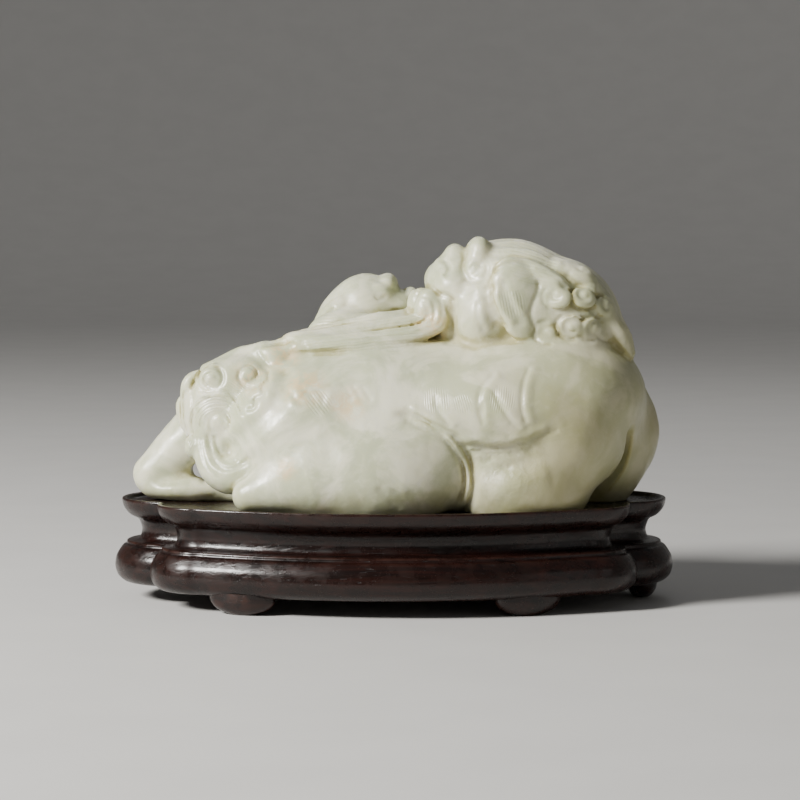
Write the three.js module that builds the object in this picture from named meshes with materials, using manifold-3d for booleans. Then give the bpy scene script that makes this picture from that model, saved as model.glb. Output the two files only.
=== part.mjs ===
// Recumbent jade lion with its cub, resting in the recessed seat of a lobed hardwood stand.
// Frame: millimetres, +Z up, +X along the length towards the chest, origin under the middle.
// The carving is modelled as one smooth implicit form: soft bodies and strands are joined and
// cut in a distance field, and the surface of that field is then faceted and thinned out.
import * as THREE from 'three';
import Module from 'manifold-3d';

// driving sizes, mm
const carving_length = 170.6;
const carving_shift_x = 0.65;
const carving_shift_y = -4;
const stand_length = 180;
const stand_depth = 108;
const end_lobe_width = 40;
const end_lobe_bulge = 13;
const corner_lobe_bulge = 4.5;
const front_lobe_width = 124;
const front_lobe_bulge = 15;
const foot_height = 5.5;
const foot_width = 22;
const foot_thickness = 10;
const lower_flange_height = 13.8;
const waist_height = 6.4;
const upper_flange_height = 6.8;
const waist_inset = 9;
const rim_inset = 2.4;
const lip_width = 1.5;
const seat_recess = 1.6;

// derived heights
const waist_z = foot_height + lower_flange_height;
const flange_z = waist_z + waist_height;
const rim_z = flange_z + upper_flange_height;
const seat_z = rim_z - seat_recess;

// fineness of the faceted solids
const cell = 1.45;
const carving_faces = 7200;
const lobe_segments = 12;

// Nominal length that the coordinates of the carving are written for.
const nominal_length = 170.6;
const FAR = 40;

const dot = (a, b) => a[0] * b[0] + a[1] * b[1] + a[2] * b[2];
const cross = (a, b) => [
  a[1] * b[2] - a[2] * b[1],
  a[2] * b[0] - a[0] * b[2],
  a[0] * b[1] - a[1] * b[0],
];
const unit = (a) => {
  const l = Math.hypot(...a);
  return a.map((v) => v / l);
};
const clamp = (v, lo, hi) => Math.min(hi, Math.max(lo, v));
const smooth_step = (x, lo, hi) => {
  const t = clamp((x - lo) / (hi - lo), 0, 1);
  return t * t * (3 - 2 * t);
};

// Axes of a body turned about x, then y, then z, in degrees.
function turned(degrees) {
  const euler = degrees.map((a) => THREE.MathUtils.degToRad(a));
  const m = new THREE.Matrix4().makeRotationFromEuler(new THREE.Euler(...euler, 'ZYX'));
  const e = m.elements;
  return [[e[0], e[1], e[2]], [e[4], e[5], e[6]], [e[8], e[9], e[10]]];
}

// Smooth line through points that may carry any number of values.
function spline(points, per) {
  const n = points.length;
  const first = points[0].map((v, k) => 2 * v - points[1][k]);
  const last = points[n - 1].map((v, k) => 2 * v - points[n - 2][k]);
  const p = [first, ...points, last];
  const out = [];
  for (let i = 1; i < n; i++) {
    for (let j = 0; j < per; j++) {
      const t = j / per;
      out.push(p[i].map((b, k) => {
        const a = p[i - 1][k];
        const c = p[i + 1][k];
        const d = p[i + 2][k];
        return 0.5 * (2 * b + (c - a) * t + (2 * a - 5 * b + 4 * c - d) * t * t
          + (3 * b - a - 3 * c + d) * t ** 3);
      }));
    }
  }
  out.push(points[n - 1]);
  return out;
}

// Points of a flat spiral from radius r0 in to r1, as [x, z].
function whorl(cx, cz, r0, r1, turns, start, spin = 1, stretch = 1) {
  const n = Math.max(3, Math.floor(Math.abs(turns) * 9));
  const out = [];
  for (let i = 0; i <= n; i++) {
    const t = i / n;
    const a = THREE.MathUtils.degToRad(start) + spin * 2 * Math.PI * turns * t;
    const r = r0 + (r1 - r0) * t;
    out.push([cx + r * Math.cos(a), cz + r * stretch * Math.sin(a)]);
  }
  return out;
}

// Soft body with three half sizes.
function blob(c, r, turn = [0, 0, 0]) {
  const m = turned(turn);
  const reach = [0, 1, 2].map((k) => Math.hypot(m[0][k] * r[0], m[1][k] * r[1], m[2][k] * r[2]));
  const dist = (x, y, z) => {
    const p = [x - c[0], y - c[1], z - c[2]];
    const q = m.map((axis) => dot(axis, p));
    const k0 = Math.hypot(q[0] / r[0], q[1] / r[1], q[2] / r[2]);
    const k1 = Math.hypot(q[0] / r[0] ** 2, q[1] / r[1] ** 2, q[2] / r[2] ** 2);
    return k0 * (k0 - 1) / Math.max(k1, 1e-6);
  };
  return { lo: c.map((v, k) => v - reach[k]), hi: c.map((v, k) => v + reach[k]), dist };
}

// Round or flattened strand through points, with a radius at each; strands are grooves along it.
function tube(points, radii, options = {}) {
  const { per = 4, flat = 1, face = [0, -1, 0], strands = 0, depth = 0 } = options;
  const line = spline(points.map((p, i) => [...p, radii[i]]), per);
  const normal = unit(face);
  const parts = [];
  for (let i = 0; i + 1 < line.length; i++) {
    const a = line[i];
    const ab = [0, 1, 2].map((k) => line[i + 1][k] - a[k]);
    const side = cross(unit(ab), normal);
    const length = Math.hypot(...side) + 1e-9;
    const across = side.map((v) => v / length);
    parts.push({ a, ab, square: dot(ab, ab), swell: line[i + 1][3] - a[3], side: across });
  }
  const thick = Math.max(...line.map((p) => p[3]));
  const dist = (x, y, z) => {
    let best = Infinity;
    for (const { a, ab, square, swell, side } of parts) {
      const p = [x - a[0], y - a[1], z - a[2]];
      const t = clamp(dot(p, ab) / square, 0, 1);
      const q = [p[0] - t * ab[0], p[1] - t * ab[1], p[2] - t * ab[2]];
      const r = a[3] + t * swell;
      let away = dot(q, q);
      if (flat !== 1) {
        away += (flat * flat - 1) * dot(q, normal) ** 2;
      }
      let d = Math.sqrt(away) - r;
      if (flat > 1) {
        d /= 1 + (flat - 1) * 0.5;
      }
      if (strands) {
        const s = dot(q, side) / Math.max(r, 0.2);
        d += depth * (0.5 - 0.5 * Math.cos(s * Math.PI * strands)) * Math.min(r / 2, 1);
      }
      best = Math.min(best, d);
    }
    return best;
  };
  const lo = [0, 1, 2].map((k) => Math.min(...line.map((p) => p[k])) - thick);
  const hi = [0, 1, 2].map((k) => Math.max(...line.map((p) => p[k])) + thick);
  return { lo, hi, dist };
}

// End of a lock wound into a spiral: a low dome with a spiral groove round a knob.
function curl(c, normal, radius, height, options = {}) {
  const { turns = 1.6, spin = 1, start = 0, depth = 0.6 } = options;
  const n = unit(normal);
  const u = unit(cross([0, 0, 1], n));
  const v = cross(n, u);
  const reach = radius + height;
  const lead = THREE.MathUtils.degToRad(start);
  const dist = (x, y, z) => {
    const p = [x - c[0], y - c[1], z - c[2]];
    const pu = dot(p, u);
    const pv = dot(p, v);
    const pn = dot(p, n);
    const rho = Math.hypot(pu, pv);
    const k0 = Math.hypot(rho / radius, pn / height);
    const k1 = Math.hypot(rho / radius ** 2, pn / height ** 2);
    const phase = Math.atan2(pv, pu) * spin + lead + 2 * Math.PI * turns * rho / radius;
    const groove = (0.5 + 0.5 * Math.cos(phase)) ** 2;
    const inner = smooth_step(rho, 0.1 * radius, 0.34 * radius);
    const outer = smooth_step(-rho, -1.05 * radius, -0.8 * radius);
    return k0 * (k0 - 1) / Math.max(k1, 1e-6) + depth * groove * inner * outer;
  };
  return { lo: c.map((w) => w - reach), hi: c.map((w) => w + reach), dist };
}

// Distance field on a regular grid; bodies are joined to it and cut from it with soft seams.
class Clay {
  constructor(lo, hi, step) {
    this.lo = lo;
    this.step = step;
    this.n = lo.map((v, k) => Math.ceil((hi[k] - v) / step) + 1);
    this.d = new Float32Array(this.n[0] * this.n[1] * this.n[2]).fill(FAR);
  }

  index(i, j, k) {
    return (i * this.n[1] + j) * this.n[2] + k;
  }

  at(axis, i) {
    return this.lo[axis] + i * this.step;
  }

  // Grid range that covers a box.
  range(lo, hi) {
    const from = lo.map((v, k) => clamp(Math.floor((v - this.lo[k]) / this.step), 0, this.n[k]));
    const to = hi.map((v, k) => clamp(Math.ceil((v - this.lo[k]) / this.step) + 1, 0, this.n[k]));
    return { from, to };
  }

  change(lo, hi, rule) {
    const { from, to } = this.range(lo, hi);
    for (let i = from[0]; i < to[0]; i++) {
      const x = this.at(0, i);
      for (let j = from[1]; j < to[1]; j++) {
        const y = this.at(1, j);
        for (let k = from[2]; k < to[2]; k++) {
          const id = this.index(i, j, k);
          this.d[id] = rule(this.d[id], x, y, this.at(2, k));
        }
      }
    }
  }

  add(form, soft) {
    const room = soft + this.step + 1.5;
    this.change(form.lo.map((v) => v - room), form.hi.map((v) => v + room), (a, x, y, z) => {
      const b = form.dist(x, y, z);
      const h = Math.max(soft - Math.abs(a - b), 0) / soft;
      return Math.min(a, b) - h * h * soft / 4;
    });
  }

  cut(form, soft) {
    const room = soft + this.step + 1.5;
    this.change(form.lo.map((v) => v - room), form.hi.map((v) => v + room), (a, x, y, z) => {
      const b = -form.dist(x, y, z);
      const h = Math.max(soft - Math.abs(a - b), 0) / soft;
      return Math.max(a, b) + h * h * soft / 4;
    });
  }

  // Groove (depth > 0) or ridge (depth < 0) along a line in space.
  engrave(points, width, depth) {
    const line = spline(points, 5);
    const lo = [0, 1, 2].map((k) => Math.min(...line.map((p) => p[k])) - width);
    const hi = [0, 1, 2].map((k) => Math.max(...line.map((p) => p[k])) + width);
    const near = nearest_on(line);
    this.change(lo, hi, (a, x, y, z) => {
      const [away, share] = near([x, y, z]);
      return a + depth * groove_shape(away, share, width, 0.12);
    });
  }

  // The same along a line drawn on the side view; side -1 is the near flank.
  score(path, width, depth, side = -1, near = 10) {
    const line = spline(path, 5);
    const reach = width + 0.5;
    const far_y = this.at(1, side < 0 ? 0 : this.n[1] - 1);
    const lo = [Math.min(...line.map((p) => p[0])) - reach, side < 0 ? far_y : near,
      Math.min(...line.map((p) => p[1])) - reach];
    const hi = [Math.max(...line.map((p) => p[0])) + reach, side < 0 ? -near : far_y,
      Math.max(...line.map((p) => p[1])) + reach];
    const on_line = nearest_on(line);
    const { from, to } = this.range(lo, hi);
    for (let i = from[0]; i < to[0]; i++) {
      for (let k = from[2]; k < to[2]; k++) {
        const [away, share] = on_line([this.at(0, i), this.at(2, k)]);
        const shape = depth * groove_shape(away, share, width, 0.1);
        if (shape === 0) {
          continue;
        }
        for (let j = from[1]; j < to[1]; j++) {
          const fade = smooth_step(Math.abs(this.at(1, j)), near, near + 2);
          this.d[this.index(i, j, k)] += shape * fade;
        }
      }
    }
  }
}

function groove_shape(away, share, width, taper) {
  const across = smooth_step(-away, -width, 0);
  return across * smooth_step(share, 0, taper) * smooth_step(-share, -1, taper - 1);
}

// Distance to a line of points, and the share of its length there.
function nearest_on(line) {
  const parts = [];
  let run = 0;
  for (let i = 0; i + 1 < line.length; i++) {
    const ab = line[i].map((v, k) => line[i + 1][k] - v);
    const length = Math.hypot(...ab);
    parts.push({ a: line[i], ab, length, run });
    run += length;
  }
  return (point) => {
    let best = Infinity;
    let share = 0;
    for (const part of parts) {
      let along = 0;
      for (let k = 0; k < point.length; k++) {
        along += (point[k] - part.a[k]) * part.ab[k];
      }
      const t = clamp(along / part.length ** 2, 0, 1);
      let away = 0;
      for (let k = 0; k < point.length; k++) {
        away += (point[k] - part.a[k] - t * part.ab[k]) ** 2;
      }
      if (away < best) {
        best = away;
        share = (part.run + t * part.length) / run;
      }
    }
    return [Math.sqrt(best), share];
  };
}

// the carving: coordinates in mm at the nominal length, heights from the seat
function carve(clay) {

  // trunk
  clay.add(blob([2, 0, 25], [48, 38, 25.6]), 1);
  clay.add(blob([46, -2, 26], [31, 34, 25]), 10);
  clay.add(blob([-33, 0, 25], [27, 31, 23]), 10);
  clay.add(blob([56, 11, 22], [28.6, 25, 25.0]), 6);
  clay.add(blob([34, -12, 31], [36, 29.5, 19.5]), 8);
  clay.add(blob([55, -9, 34], [20.5, 25, 13]), 6);
  clay.add(blob([46, -9, 37.5], [29, 24.5, 17]), 6);
  clay.add(blob([-4, -13, 38.4], [33, 18.4, 12.2]), 5);
  clay.add(blob([46, 9, 36.5], [27, 23, 16.5]), 6);
  clay.add(blob([60, 0, 36], [17.5, 23, 15]), 6);

  // near foreleg folded under the chest
  clay.add(blob([38, -21, 9], [23, 18.2, 18]), 5);
  clay.add(blob([52, -17, 23], [17, 21, 17], [0, -12, 0]), 5);
  // far foreleg
  clay.add(blob([44, 23, 11], [27, 14, 17], [0, 0, -6]), 5);
  clay.add(blob([62, 8, 8], [15, 12, 13], [0, 0, 0]), 4);
  // gap between the forelegs
  clay.cut(tube([[76, -24, 26], [71, -16, 20], [67, -10, 11], [60, -6, 1]], [0.8, 3.0, 4.6, 5.6]), 2);

  // near haunch, knee forward, hock back
  clay.add(blob([-8, -26, 12.6], [31, 17.6, 18.6]), 5);
  clay.add(blob([-30, -16, 24], [24, 20, 20]), 8);
  clay.add(tube([[-45.5, -31, 5.6], [-38, -31, 7.4], [-28, -30, 10]], [5.4, 7.0, 10], { per: 8 }), 6);
  // far haunch
  clay.add(blob([-8, 26, 14], [31, 17, 19]), 6);
  clay.add(blob([-30, 18, 25], [24, 18, 20]), 8);
  // far hind leg stretched back, broad down to the foot
  clay.add(tube([[-58, 13, 24.6], [-63.6, 12.5, 21.0], [-69.6, 12, 15.6], [-74.4, 11.5, 11.2],
    [-78.0, 11, 8.0]], [10.4, 10.0, 9.0, 8.0, 7.4], { per: 8 }), 3);
  clay.add(blob([-66, 8, 3.6], [15, 8.6, 4.4]), 3);
  clay.add(tube([[-60, 6, 3.4], [-44, 2, 3]], [3.8, 3.6]), 2);
  clay.cut(tube([[-64.2, -24, 10.2], [-64.2, 26, 9.2]], [2.3, 2.3]), 1.0);
  clay.cut(tube([[-61.6, -24, 8.6], [-61.6, 26, 7.6]], [2.0, 2.0]), 1.0);

  // neck and head
  clay.add(blob([50, 1, 54], [21, 21, 19], [0, 20, 0]), 6);
  clay.add(blob([34, 0, 68.0], [17, 19, 14.2], [0, 10, 0]), 5);
  clay.add(blob([26, -5, 60], [9.5, 17, 13]), 4);
  clay.add(blob([48, 1, 65], [17, 21.5, 14], [0, 32, 0]), 4);
  clay.add(blob([57.5, 1, 56], [13, 20.5, 14.5], [0, 35, 0]), 4);
  clay.add(blob([15, 3, 57], [8, 10, 10]), 3);
  clay.add(blob([16.5, -4.6, 57.6], [5.4, 9.4, 8.6]), 2);
  clay.add(blob([14.5, -10.5, 43.6], [16, 11.6, 9.0]), 3);
  for (const s of [-1, 1]) {
    clay.add(blob([43, 10.5 * s, 63], [17, 11.4, 13], [0, 20, 0]), 3);
    clay.add(blob([30.0, 8.6 * s, 61.4], [11.4, 11.6, 12.4]), 3);
  }

  mane(clay);
  face(clay);
  tail(clay);
  cub(clay);
  ribbon(clay);
  relief(clay);
}


function face(clay) {
  // muzzle
  clay.add(blob([18, -1, 69], [8.6, 14, 9], [0, -20, 0]), 4);
  clay.add(blob([19.4, -1, 75], [6.6, 9.5, 6.6]), 3);
  clay.add(blob([13.0, -1, 71.2], [4.0, 9, 5.0], [0, -14, 0]), 2);
  // nose and nostrils
  for (const s of [-1, 1]) {
    clay.add(blob([18.4, 4.0 * s, 78.4], [3.7, 4.2, 4.1]), 1.2);
    clay.add(blob([14.6, 5.2 * s, 75.6], [2.9, 3.6, 2.9]), 1.2);
    clay.score([[13.0, 78.0], [15.6, 76.8], [16.4, 74.2], [14.6, 72.6]], 1.3, 0.7, s, 6);
  }
  // brows and eyes
  for (const s of [-1, 1]) {
    clay.add(blob([25.8, 7.4 * s, 79.6], [3.9, 5.4, 5.4], [0, 8, 0]), 2.2);
    clay.add(blob([24.4, 11.0 * s, 75.2], [3.2, 3.0, 3.6]), 1.6);
    clay.score([[21.9, 82.6], [21.4, 78.6], [20.6, 74.8], [22.0, 71.6], [25.4, 71.2], [28.0, 73.6],
      [28.4, 77.4]], 1.6, 0.5, s, 7);
    clay.score([[22.4, 74.4], [24.2, 76.6], [26.6, 76.0]], 1.0, 0.3, s, 9);
  }
  clay.add(blob([31, 0, 79.0], [6, 9, 4.2]), 3);
  // cheek folds and the line of the mouth
  clay.score([[20.0, 72], [22.6, 66], [21.6, 58]], 3.6, 0.45, -1, 12);
  clay.score([[27.4, 67], [28.6, 61], [31.0, 56.6]], 2.2, 0.4, -1, 12);
  for (const s of [-1, 1]) {
    clay.score([[8, 68.2], [12, 67.4], [16, 66.6], [18.6, 64.4]], 1.5, 1.0, s, 5);
  }
  // hollow under the jaw
  clay.cut(blob([16.8, -16.4, 58.0], [2.2, 4.4, 6.4], [0, 8, 0]), 2.0);
  // ears: broad hanging leaves with wavy locks along the front
  for (const s of [-1, 1]) {
    clay.add(tube([[36.4, 18.6 * s, 72.4], [36.9, 20.0 * s, 68.4], [37.4, 20.6 * s, 63.0],
      [38.8, 20.8 * s, 58.2], [40.0, 20.6 * s, 55.4]], [6.8, 7.6, 6.2, 5.2, 3.0],
        { per: 8, flat: 2.7, face: [0.1, s, 0.1] }), 0.9);
    clay.add(tube([[31.6, 18.2 * s, 71.0], [31.2, 19.4 * s, 66.6], [33.4, 20.2 * s, 61.6],
      [36.2, 20.0 * s, 57.4]], [2.4, 3.2, 3.0, 2.0], { per: 8, flat: 1.8, face: [-0.1, s, 0.1] }), 0.6);
    clay.score([[33.0, 72.6], [33.4, 68.0], [35.4, 64.2], [37.6, 60.8], [38.6, 56.8]], 2.2, 0.6, s, 14);
    clay.score([[30.2, 71.4], [30.0, 66.0], [32.2, 60.6], [35.4, 56.2]], 1.2, 0.4, s, 14);
    clay.score([[30.6, 69.0], [31.2, 65.0], [33.8, 60.6], [36.4, 57.6]], 1.6, -0.5, s, 14);
    clay.score([[35.6, 68.4], [37.2, 64.4], [39.4, 60.6]], 1.8, -0.5, s, 15);
    clay.score([[43.9, 72.6], [43.9, 68.6], [42.2, 64.6], [41.4, 61.0], [42.6, 57.0], [41.4, 53.8]], 1.3,
      0.5, s, 14);
    clay.score([[29.8, 73.6], [33.2, 76.4], [38.0, 77.0], [42.8, 75.2]], 1.4, 0.5, s, 12);
    clay.score([[25.4, 66.0], [25.0, 60.0], [27.4, 55.4]], 1.6, 0.4, s, 12);
  }
}


function mane(clay) {
  // bulk under the mane
  clay.add(blob([54, 0, 61], [15.5, 21, 15.5]), 3);
  // locks in rows, low oval scales each wound into a flat curl; centre x and z, radius, lift
  const rows = [
    [66.4, 55.8, 4.0, 0.8], [60.8, 56.6, 4.5, 0.6], [54.4, 57.2, 4.8, 0.3], [46.8, 55.4, 4.3, 2.5],
    [64.6, 63.4, 4.2, 0.8], [58.4, 66.4, 4.6, 0.7], [50.4, 66.6, 5.0, 1.8],
    [57.8, 73.4, 4.4, 2.6], [49.6, 74.6, 4.6, 5.2],
  ];
  for (const s of [-1, 1]) {
    for (let i = 0; i < rows.length; i++) {
      const [x, z, r, up] = rows[i];
      const lift = 1 - ((x - 54) / 15.5) ** 2 - ((z - 61) / 15.5) ** 2;
      const y = s * (21 * Math.sqrt(Math.max(lift, 0.06)) + up);
      clay.add(curl([x, y, z], [(x - 54) / 240, y / 441, (z - 61) / 240], r, 1.8,
        { turns: 1.0, start: 30, depth: 1.0, squash: 0.84 }), 0.5);
      clay.score(whorl(x, z, 1.06 * r, 1.06 * r, 0.6, 80, 1, 0.82), 1.0, 0.45, s, 6);
    }
  }
  // locks over the crown, running back from the brows
  for (let i = 0; i < 7; i++) {
    const y = -16.5 + 5.5 * i;
    const drop = 0.020 * y * y;
    clay.add(tube([[29, y * 0.8, 80.4 - drop], [36, y * 0.95, 81.4 - drop], [43, y * 1.05, 79.8 - drop],
      [49.5, y * 1.15, 76.0 - drop]], [1.6, 2.8, 3.2, 3.0],
        { strands: 2.5, depth: 0.3, face: [0.3, y * 0.04, 1] }), 2.2);
  }
  // rows of lobes and strands down the back of the neck
  for (let i = 0; i < 6; i++) {
    const y = -13.75 + 5.5 * i;
    const out = 2.0 * (1 - (y / 20) ** 2) - 1.1;
    clay.add(tube([[51 + out, y, 75.4], [56.5 + out, y, 72.6], [60.5 + out, y, 69.0]], [2.4, 3.4, 3.2],
      { strands: 2.0, depth: 0.35, face: [1, 0, 1] }), 2.0);
    clay.add(tube([[59 + out, y + 2.5, 69.6], [64 + out, y + 2.5, 64.8], [66.6 + out, y + 2.2, 60.0]],
      [2.4, 3.4, 3.2], { strands: 2.0, depth: 0.35, face: [1, 0, 0.6] }), 2.0);
    clay.add(tube([[64.5 + out, y, 61.0], [69.8 + out, y * 0.9, 54.6], [73.4 + out, y * 0.8, 48.2]],
      [2.4, 3.2, 1.6], { strands: 2.0, depth: 0.35, face: [1, 0, 0.4] }), 2.0);
  }
}


function tail(clay) {
  // bulk of the clump
  clay.add(blob([-56.2, -13, 29], [11.4, 10.4, 12.4]), 3);
  clay.add(blob([-50.5, -12, 38], [13.0, 10.2, 9.2], [0, -34, 0]), 3);
  clay.add(blob([-52.6, -12.4, 36.6], [13.0, 10.4, 10.6], [0, -20, 0]), 2);
  // thick root from under the haunch, turning up into the big spiral
  clay.add(tube([[-36, -22, 21.4], [-41.6, -23.4, 16.8], [-47.0, -24, 12.6], [-52.0, -23.6, 11.2],
    [-56.4, -22.0, 13.2], [-59.0, -19.6, 17.6], [-59.6, -18.0, 22.6]],
      [3.6, 5.4, 6.2, 6.0, 5.2, 4.6, 4.2], { per: 8 }), 1.6);
  clay.add(blob([-53.4, -18.0, 19.4], [6.4, 5.4, 6.6]), 2);
  clay.add(blob([-55.0, -15.4, 27.4], [8.6, 8.2, 8.2]), 1.2);
  // lower step beside the rump
  clay.add(tube([[-42, -15, 46.0], [-38.2, -16.5, 42.6], [-37.6, -17, 38.2], [-41.0, -17.5, 33],
    [-46.6, -18, 27.6], [-51.6, -19.5, 21.6]], [2.2, 3.4, 3.4, 3.2, 2.8, 1.6], { per: 6 }), 1.4);
  // low round bosses of the upper curls
  clay.add(blob([-57.7, -17.4, 41.4], [4.6, 4.6, 4.3]), 0.8);
  clay.add(blob([-46.0, -16.8, 42.0], [4.8, 5.2, 4.4]), 1.4);
  clay.add(blob([-47.6, -17.2, 37.2], [6.2, 5.4, 5.0], [0, 30, 0]), 1.4);
  // wound end of the big curl
  clay.add(blob([-54.6, -21.6, 27.4], [2.9, 2.5, 2.6]), 0.8);
  // upright locks at the left edge
  clay.add(tube([[-61.8, -14, 42.0], [-64.8, -14, 40.0], [-65.8, -14, 36.0], [-65.8, -13.6, 29.1],
    [-64.8, -14, 23.0]], [1.6, 2.2, 2.3, 2.0, 1.1]), 0.7);
  clay.add(tube([[-66.0, -10.6, 35.2], [-67.8, -10, 32.2], [-67.4, -10, 27.0], [-65.6, -11, 22.6]],
    [1.4, 2.0, 1.7, 1.0]), 0.7);
  clay.add(blob([-63.4, -18.4, 19.6], [3.2, 3.6, 3.9], [0, -10, 0]), 0.5);
  // top of the clump, and the leaf-shaped tuft that lies on the back
  clay.add(tube([[-60, -8, 42.6], [-55, -9, 44.4], [-49, -10, 47.0], [-42, -12, 48.4]],
    [2.4, 3.0, 3.4, 3.6]), 1.6);
  clay.add(tube([[-43.5, -14.6, 47.2], [-38.8, -16.6, 46.8], [-36.4, -18.8, 43.4]], [2.4, 3.6, 2.0],
    { per: 8, flat: 2.4 }), 0.8);
  clay.add(tube([[-41, -12, 48.8], [-32, -15, 48.6], [-21, -17, 48.6]], [3.2, 2.8, 0.8],
    { flat: 1.4, strands: 2.0, depth: 0.3, face: [0, -0.6, 0.8] }), 2.6);
  // rings of the upper curls
  clay.score(whorl(-57.6, 41.0, 4.7, 1.3, 1.6, 200, -1, 0.92), 1.0, 0.7);
  clay.score(whorl(-45.8, 42.2, 4.4, 1.3, 1.4, 330, -1, 0.92), 1.0, 0.6);
  // hatched leaf between the curls, with a scalloped edge along the rump
  for (let i = 0; i < 5; i++) {
    clay.score([[-52.8 + 1.6 * i, 37.6 - 0.1 * i], [-51.0 + 1.6 * i, 35.6],
      [-49.8 + 1.6 * i, 32.6 + 0.5 * i]], 0.8, 0.25);
  }
  clay.score([[-40.8, 44.4], [-39.8, 41.2], [-41.8, 39.2], [-41.2, 36.6], [-43.8, 35.4], [-44.0, 32.8],
    [-47.2, 31.8]], 1.0, 0.7);
  // bright rim between the upper lobes and the big curl
  const rim = [[-62.4, 36.4], [-58.4, 35.8], [-54.4, 36.2], [-51.4, 34.8], [-49.2, 32.0], [-47.6, 28.6]];
  clay.score(rim, 1.2, -0.45);
  clay.score(rim.map(([x, z]) => [x, z + 1.3]), 0.9, 0.5);
  // strands that sweep over the big curl from the lower left
  for (let i = 0; i < 4; i++) {
    clay.score(whorl(-54.8, 27.2, 9.8 - 1.5 * i, 7.8 - 1.5 * i, 0.56, 214 - 6 * i, -1), 0.95, 0.5);
  }
  clay.score(whorl(-54.7, 27.4, 3.9, 2.6, 0.9, 250, -1, 0.95), 1.0, 0.6);
  // valley between the clump and the rump
  clay.score([[-33.8, 45.6], [-34.4, 42.0], [-35.6, 37.0], [-39.6, 31.2], [-46.4, 25.0], [-51.4, 19.6],
    [-53.6, 16.6]], 4.6, 1.2);
  // strands down the root and the lip of its hook
  clay.score([[-59.2, 25.0], [-58.4, 20.6], [-57.0, 16.4], [-53.6, 13.6], [-49.4, 14.4], [-44.6, 17.6]],
    1.3, 0.6);
  clay.score([[-56.8, 24.0], [-56.2, 20.6], [-54.6, 17.2], [-51.8, 15.4], [-48.6, 16.4]], 1.1, 0.5);
  clay.score([[-61.2, 23.6], [-60.6, 18.6], [-58.6, 13.6], [-54.4, 10.2]], 1.0, 0.35);
  // locks at the edge, and strokes on the small lobe
  clay.score([[-63.4, 41.2], [-63.8, 37], [-63.6, 31], [-63.6, 25.4]], 1.0, 0.6);
  clay.score([[-66.5, 37.6], [-66.9, 33], [-66.6, 27.6], [-65.6, 23.4]], 0.9, 0.6);
  for (let i = 0; i < 3; i++) {
    clay.score([[-65.4 + 0.5 * i, 22.6 - 1.5 * i], [-62.6 + 0.5 * i, 20.8 - 1.5 * i]], 0.9, 0.35);
  }
  clay.score([[-43.8, 49.6], [-41.6, 46.8], [-39.4, 44.6]], 0.9, 0.35);
  // fold of the ankle on the far leg
  clay.score([[-74.0, 17.2], [-72.4, 19.8], [-69.2, 20.6], [-65.4, 19.6]], 1.8, 0.35, -1, 1);
}


function cub(clay) {
  // body climbing up the far side
  clay.add(blob([-24, 31, 30], [15, 14, 18], [-14, 0, 0]), 5);
  clay.add(blob([-19, 23, 47], [12.5, 12, 13], [24, 0, 0]), 5);
  clay.add(blob([-10, 12, 59.8], [12, 12, 13], [0, -6, 0]), 3);
  clay.add(blob([-17, 13, 57], [9, 12, 10]), 3);
  // brow, muzzle and nose
  clay.add(blob([-3.2, 12, 69.2], [3.4, 7, 3.7], [0, 20, 0]), 1.4);
  clay.add(blob([-0.5, 12, 61.5], [7.2, 8, 6.4], [0, 12, 0]), 2.5);
  clay.add(blob([4.4, 12, 65.4], [2.9, 4.2, 3.2]), 1.2);
  clay.engrave([[-4, 4.5, 60.4], [0, 4, 60.8], [4.5, 5, 60.6]], 1.4, 1.0);
  // shoulder of the cub against the ribbon
  clay.add(blob([-19, -0.6, 56.2], [10, 7.0, 5.2], [0, -16, 0]), 2.4);
  for (const s of [-1, 1]) {
    clay.add(blob([-5.0, 12 + 7.0 * s, 67.6], [2.9, 1.8, 1.5], [0, 34, 0]), 1.8);
    clay.engrave([[-8, 12 + 9.4 * s, 65.6], [-5.6, 12 + 9.8 * s, 64.8], [-3.2, 12 + 9 * s, 66]], 1.0,
      0.6);
    // ear laid back
    clay.add(tube([[-18.6, 12 + 9 * s, 64], [-22.0, 12 + 10 * s, 60.0], [-26.0, 12 + 10 * s, 54.6]],
      [2.0, 3.5, 2.2], { flat: 2.6, face: [-0.5, s, 0.6] }), 1.0);
    clay.engrave([[-19.6, 12 + 10 * s, 62.4], [-22.2, 12 + 12 * s, 60], [-25.4, 12 + 12 * s, 57]], 1.4,
      0.8);
  }
  // forepaws and hind leg on the far flank
  clay.add(tube([[-10, 24, 50], [-2, 25, 50.5], [5, 23, 50]], [5.6, 4.4, 4.6], { per: 8 }), 1.5);
  clay.add(tube([[-12, 35, 38], [-4, 38.5, 35], [2, 39, 31]], [5.4, 4.6, 4.8], { per: 8 }), 1.5);
  clay.add(blob([-31, 37, 24], [10, 8.5, 12], [0, 24, 0]), 2);
  clay.add(tube([[-35, 39, 14], [-29, 41, 8.5], [-22, 41.5, 7]], [5.6, 4.6, 4.6], { per: 8 }), 2);
  for (const s of [-1, 1]) {
    clay.score([[-24 + 3 * s, 26], [-22 + 3 * s, 34], [-19 + 3 * s, 42]], 2.4, 0.5, 1, 30);
  }
  // its tail curled up the flank
  clay.add(tube([[-38, 36, 26], [-43, 34, 34], [-40, 30, 42], [-35, 29, 43]], [3.2, 3.6, 3.8, 2.6],
    { per: 8, strands: 1.5, depth: 0.4, face: [0, 1, 0.4] }), 1.2);
}


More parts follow.
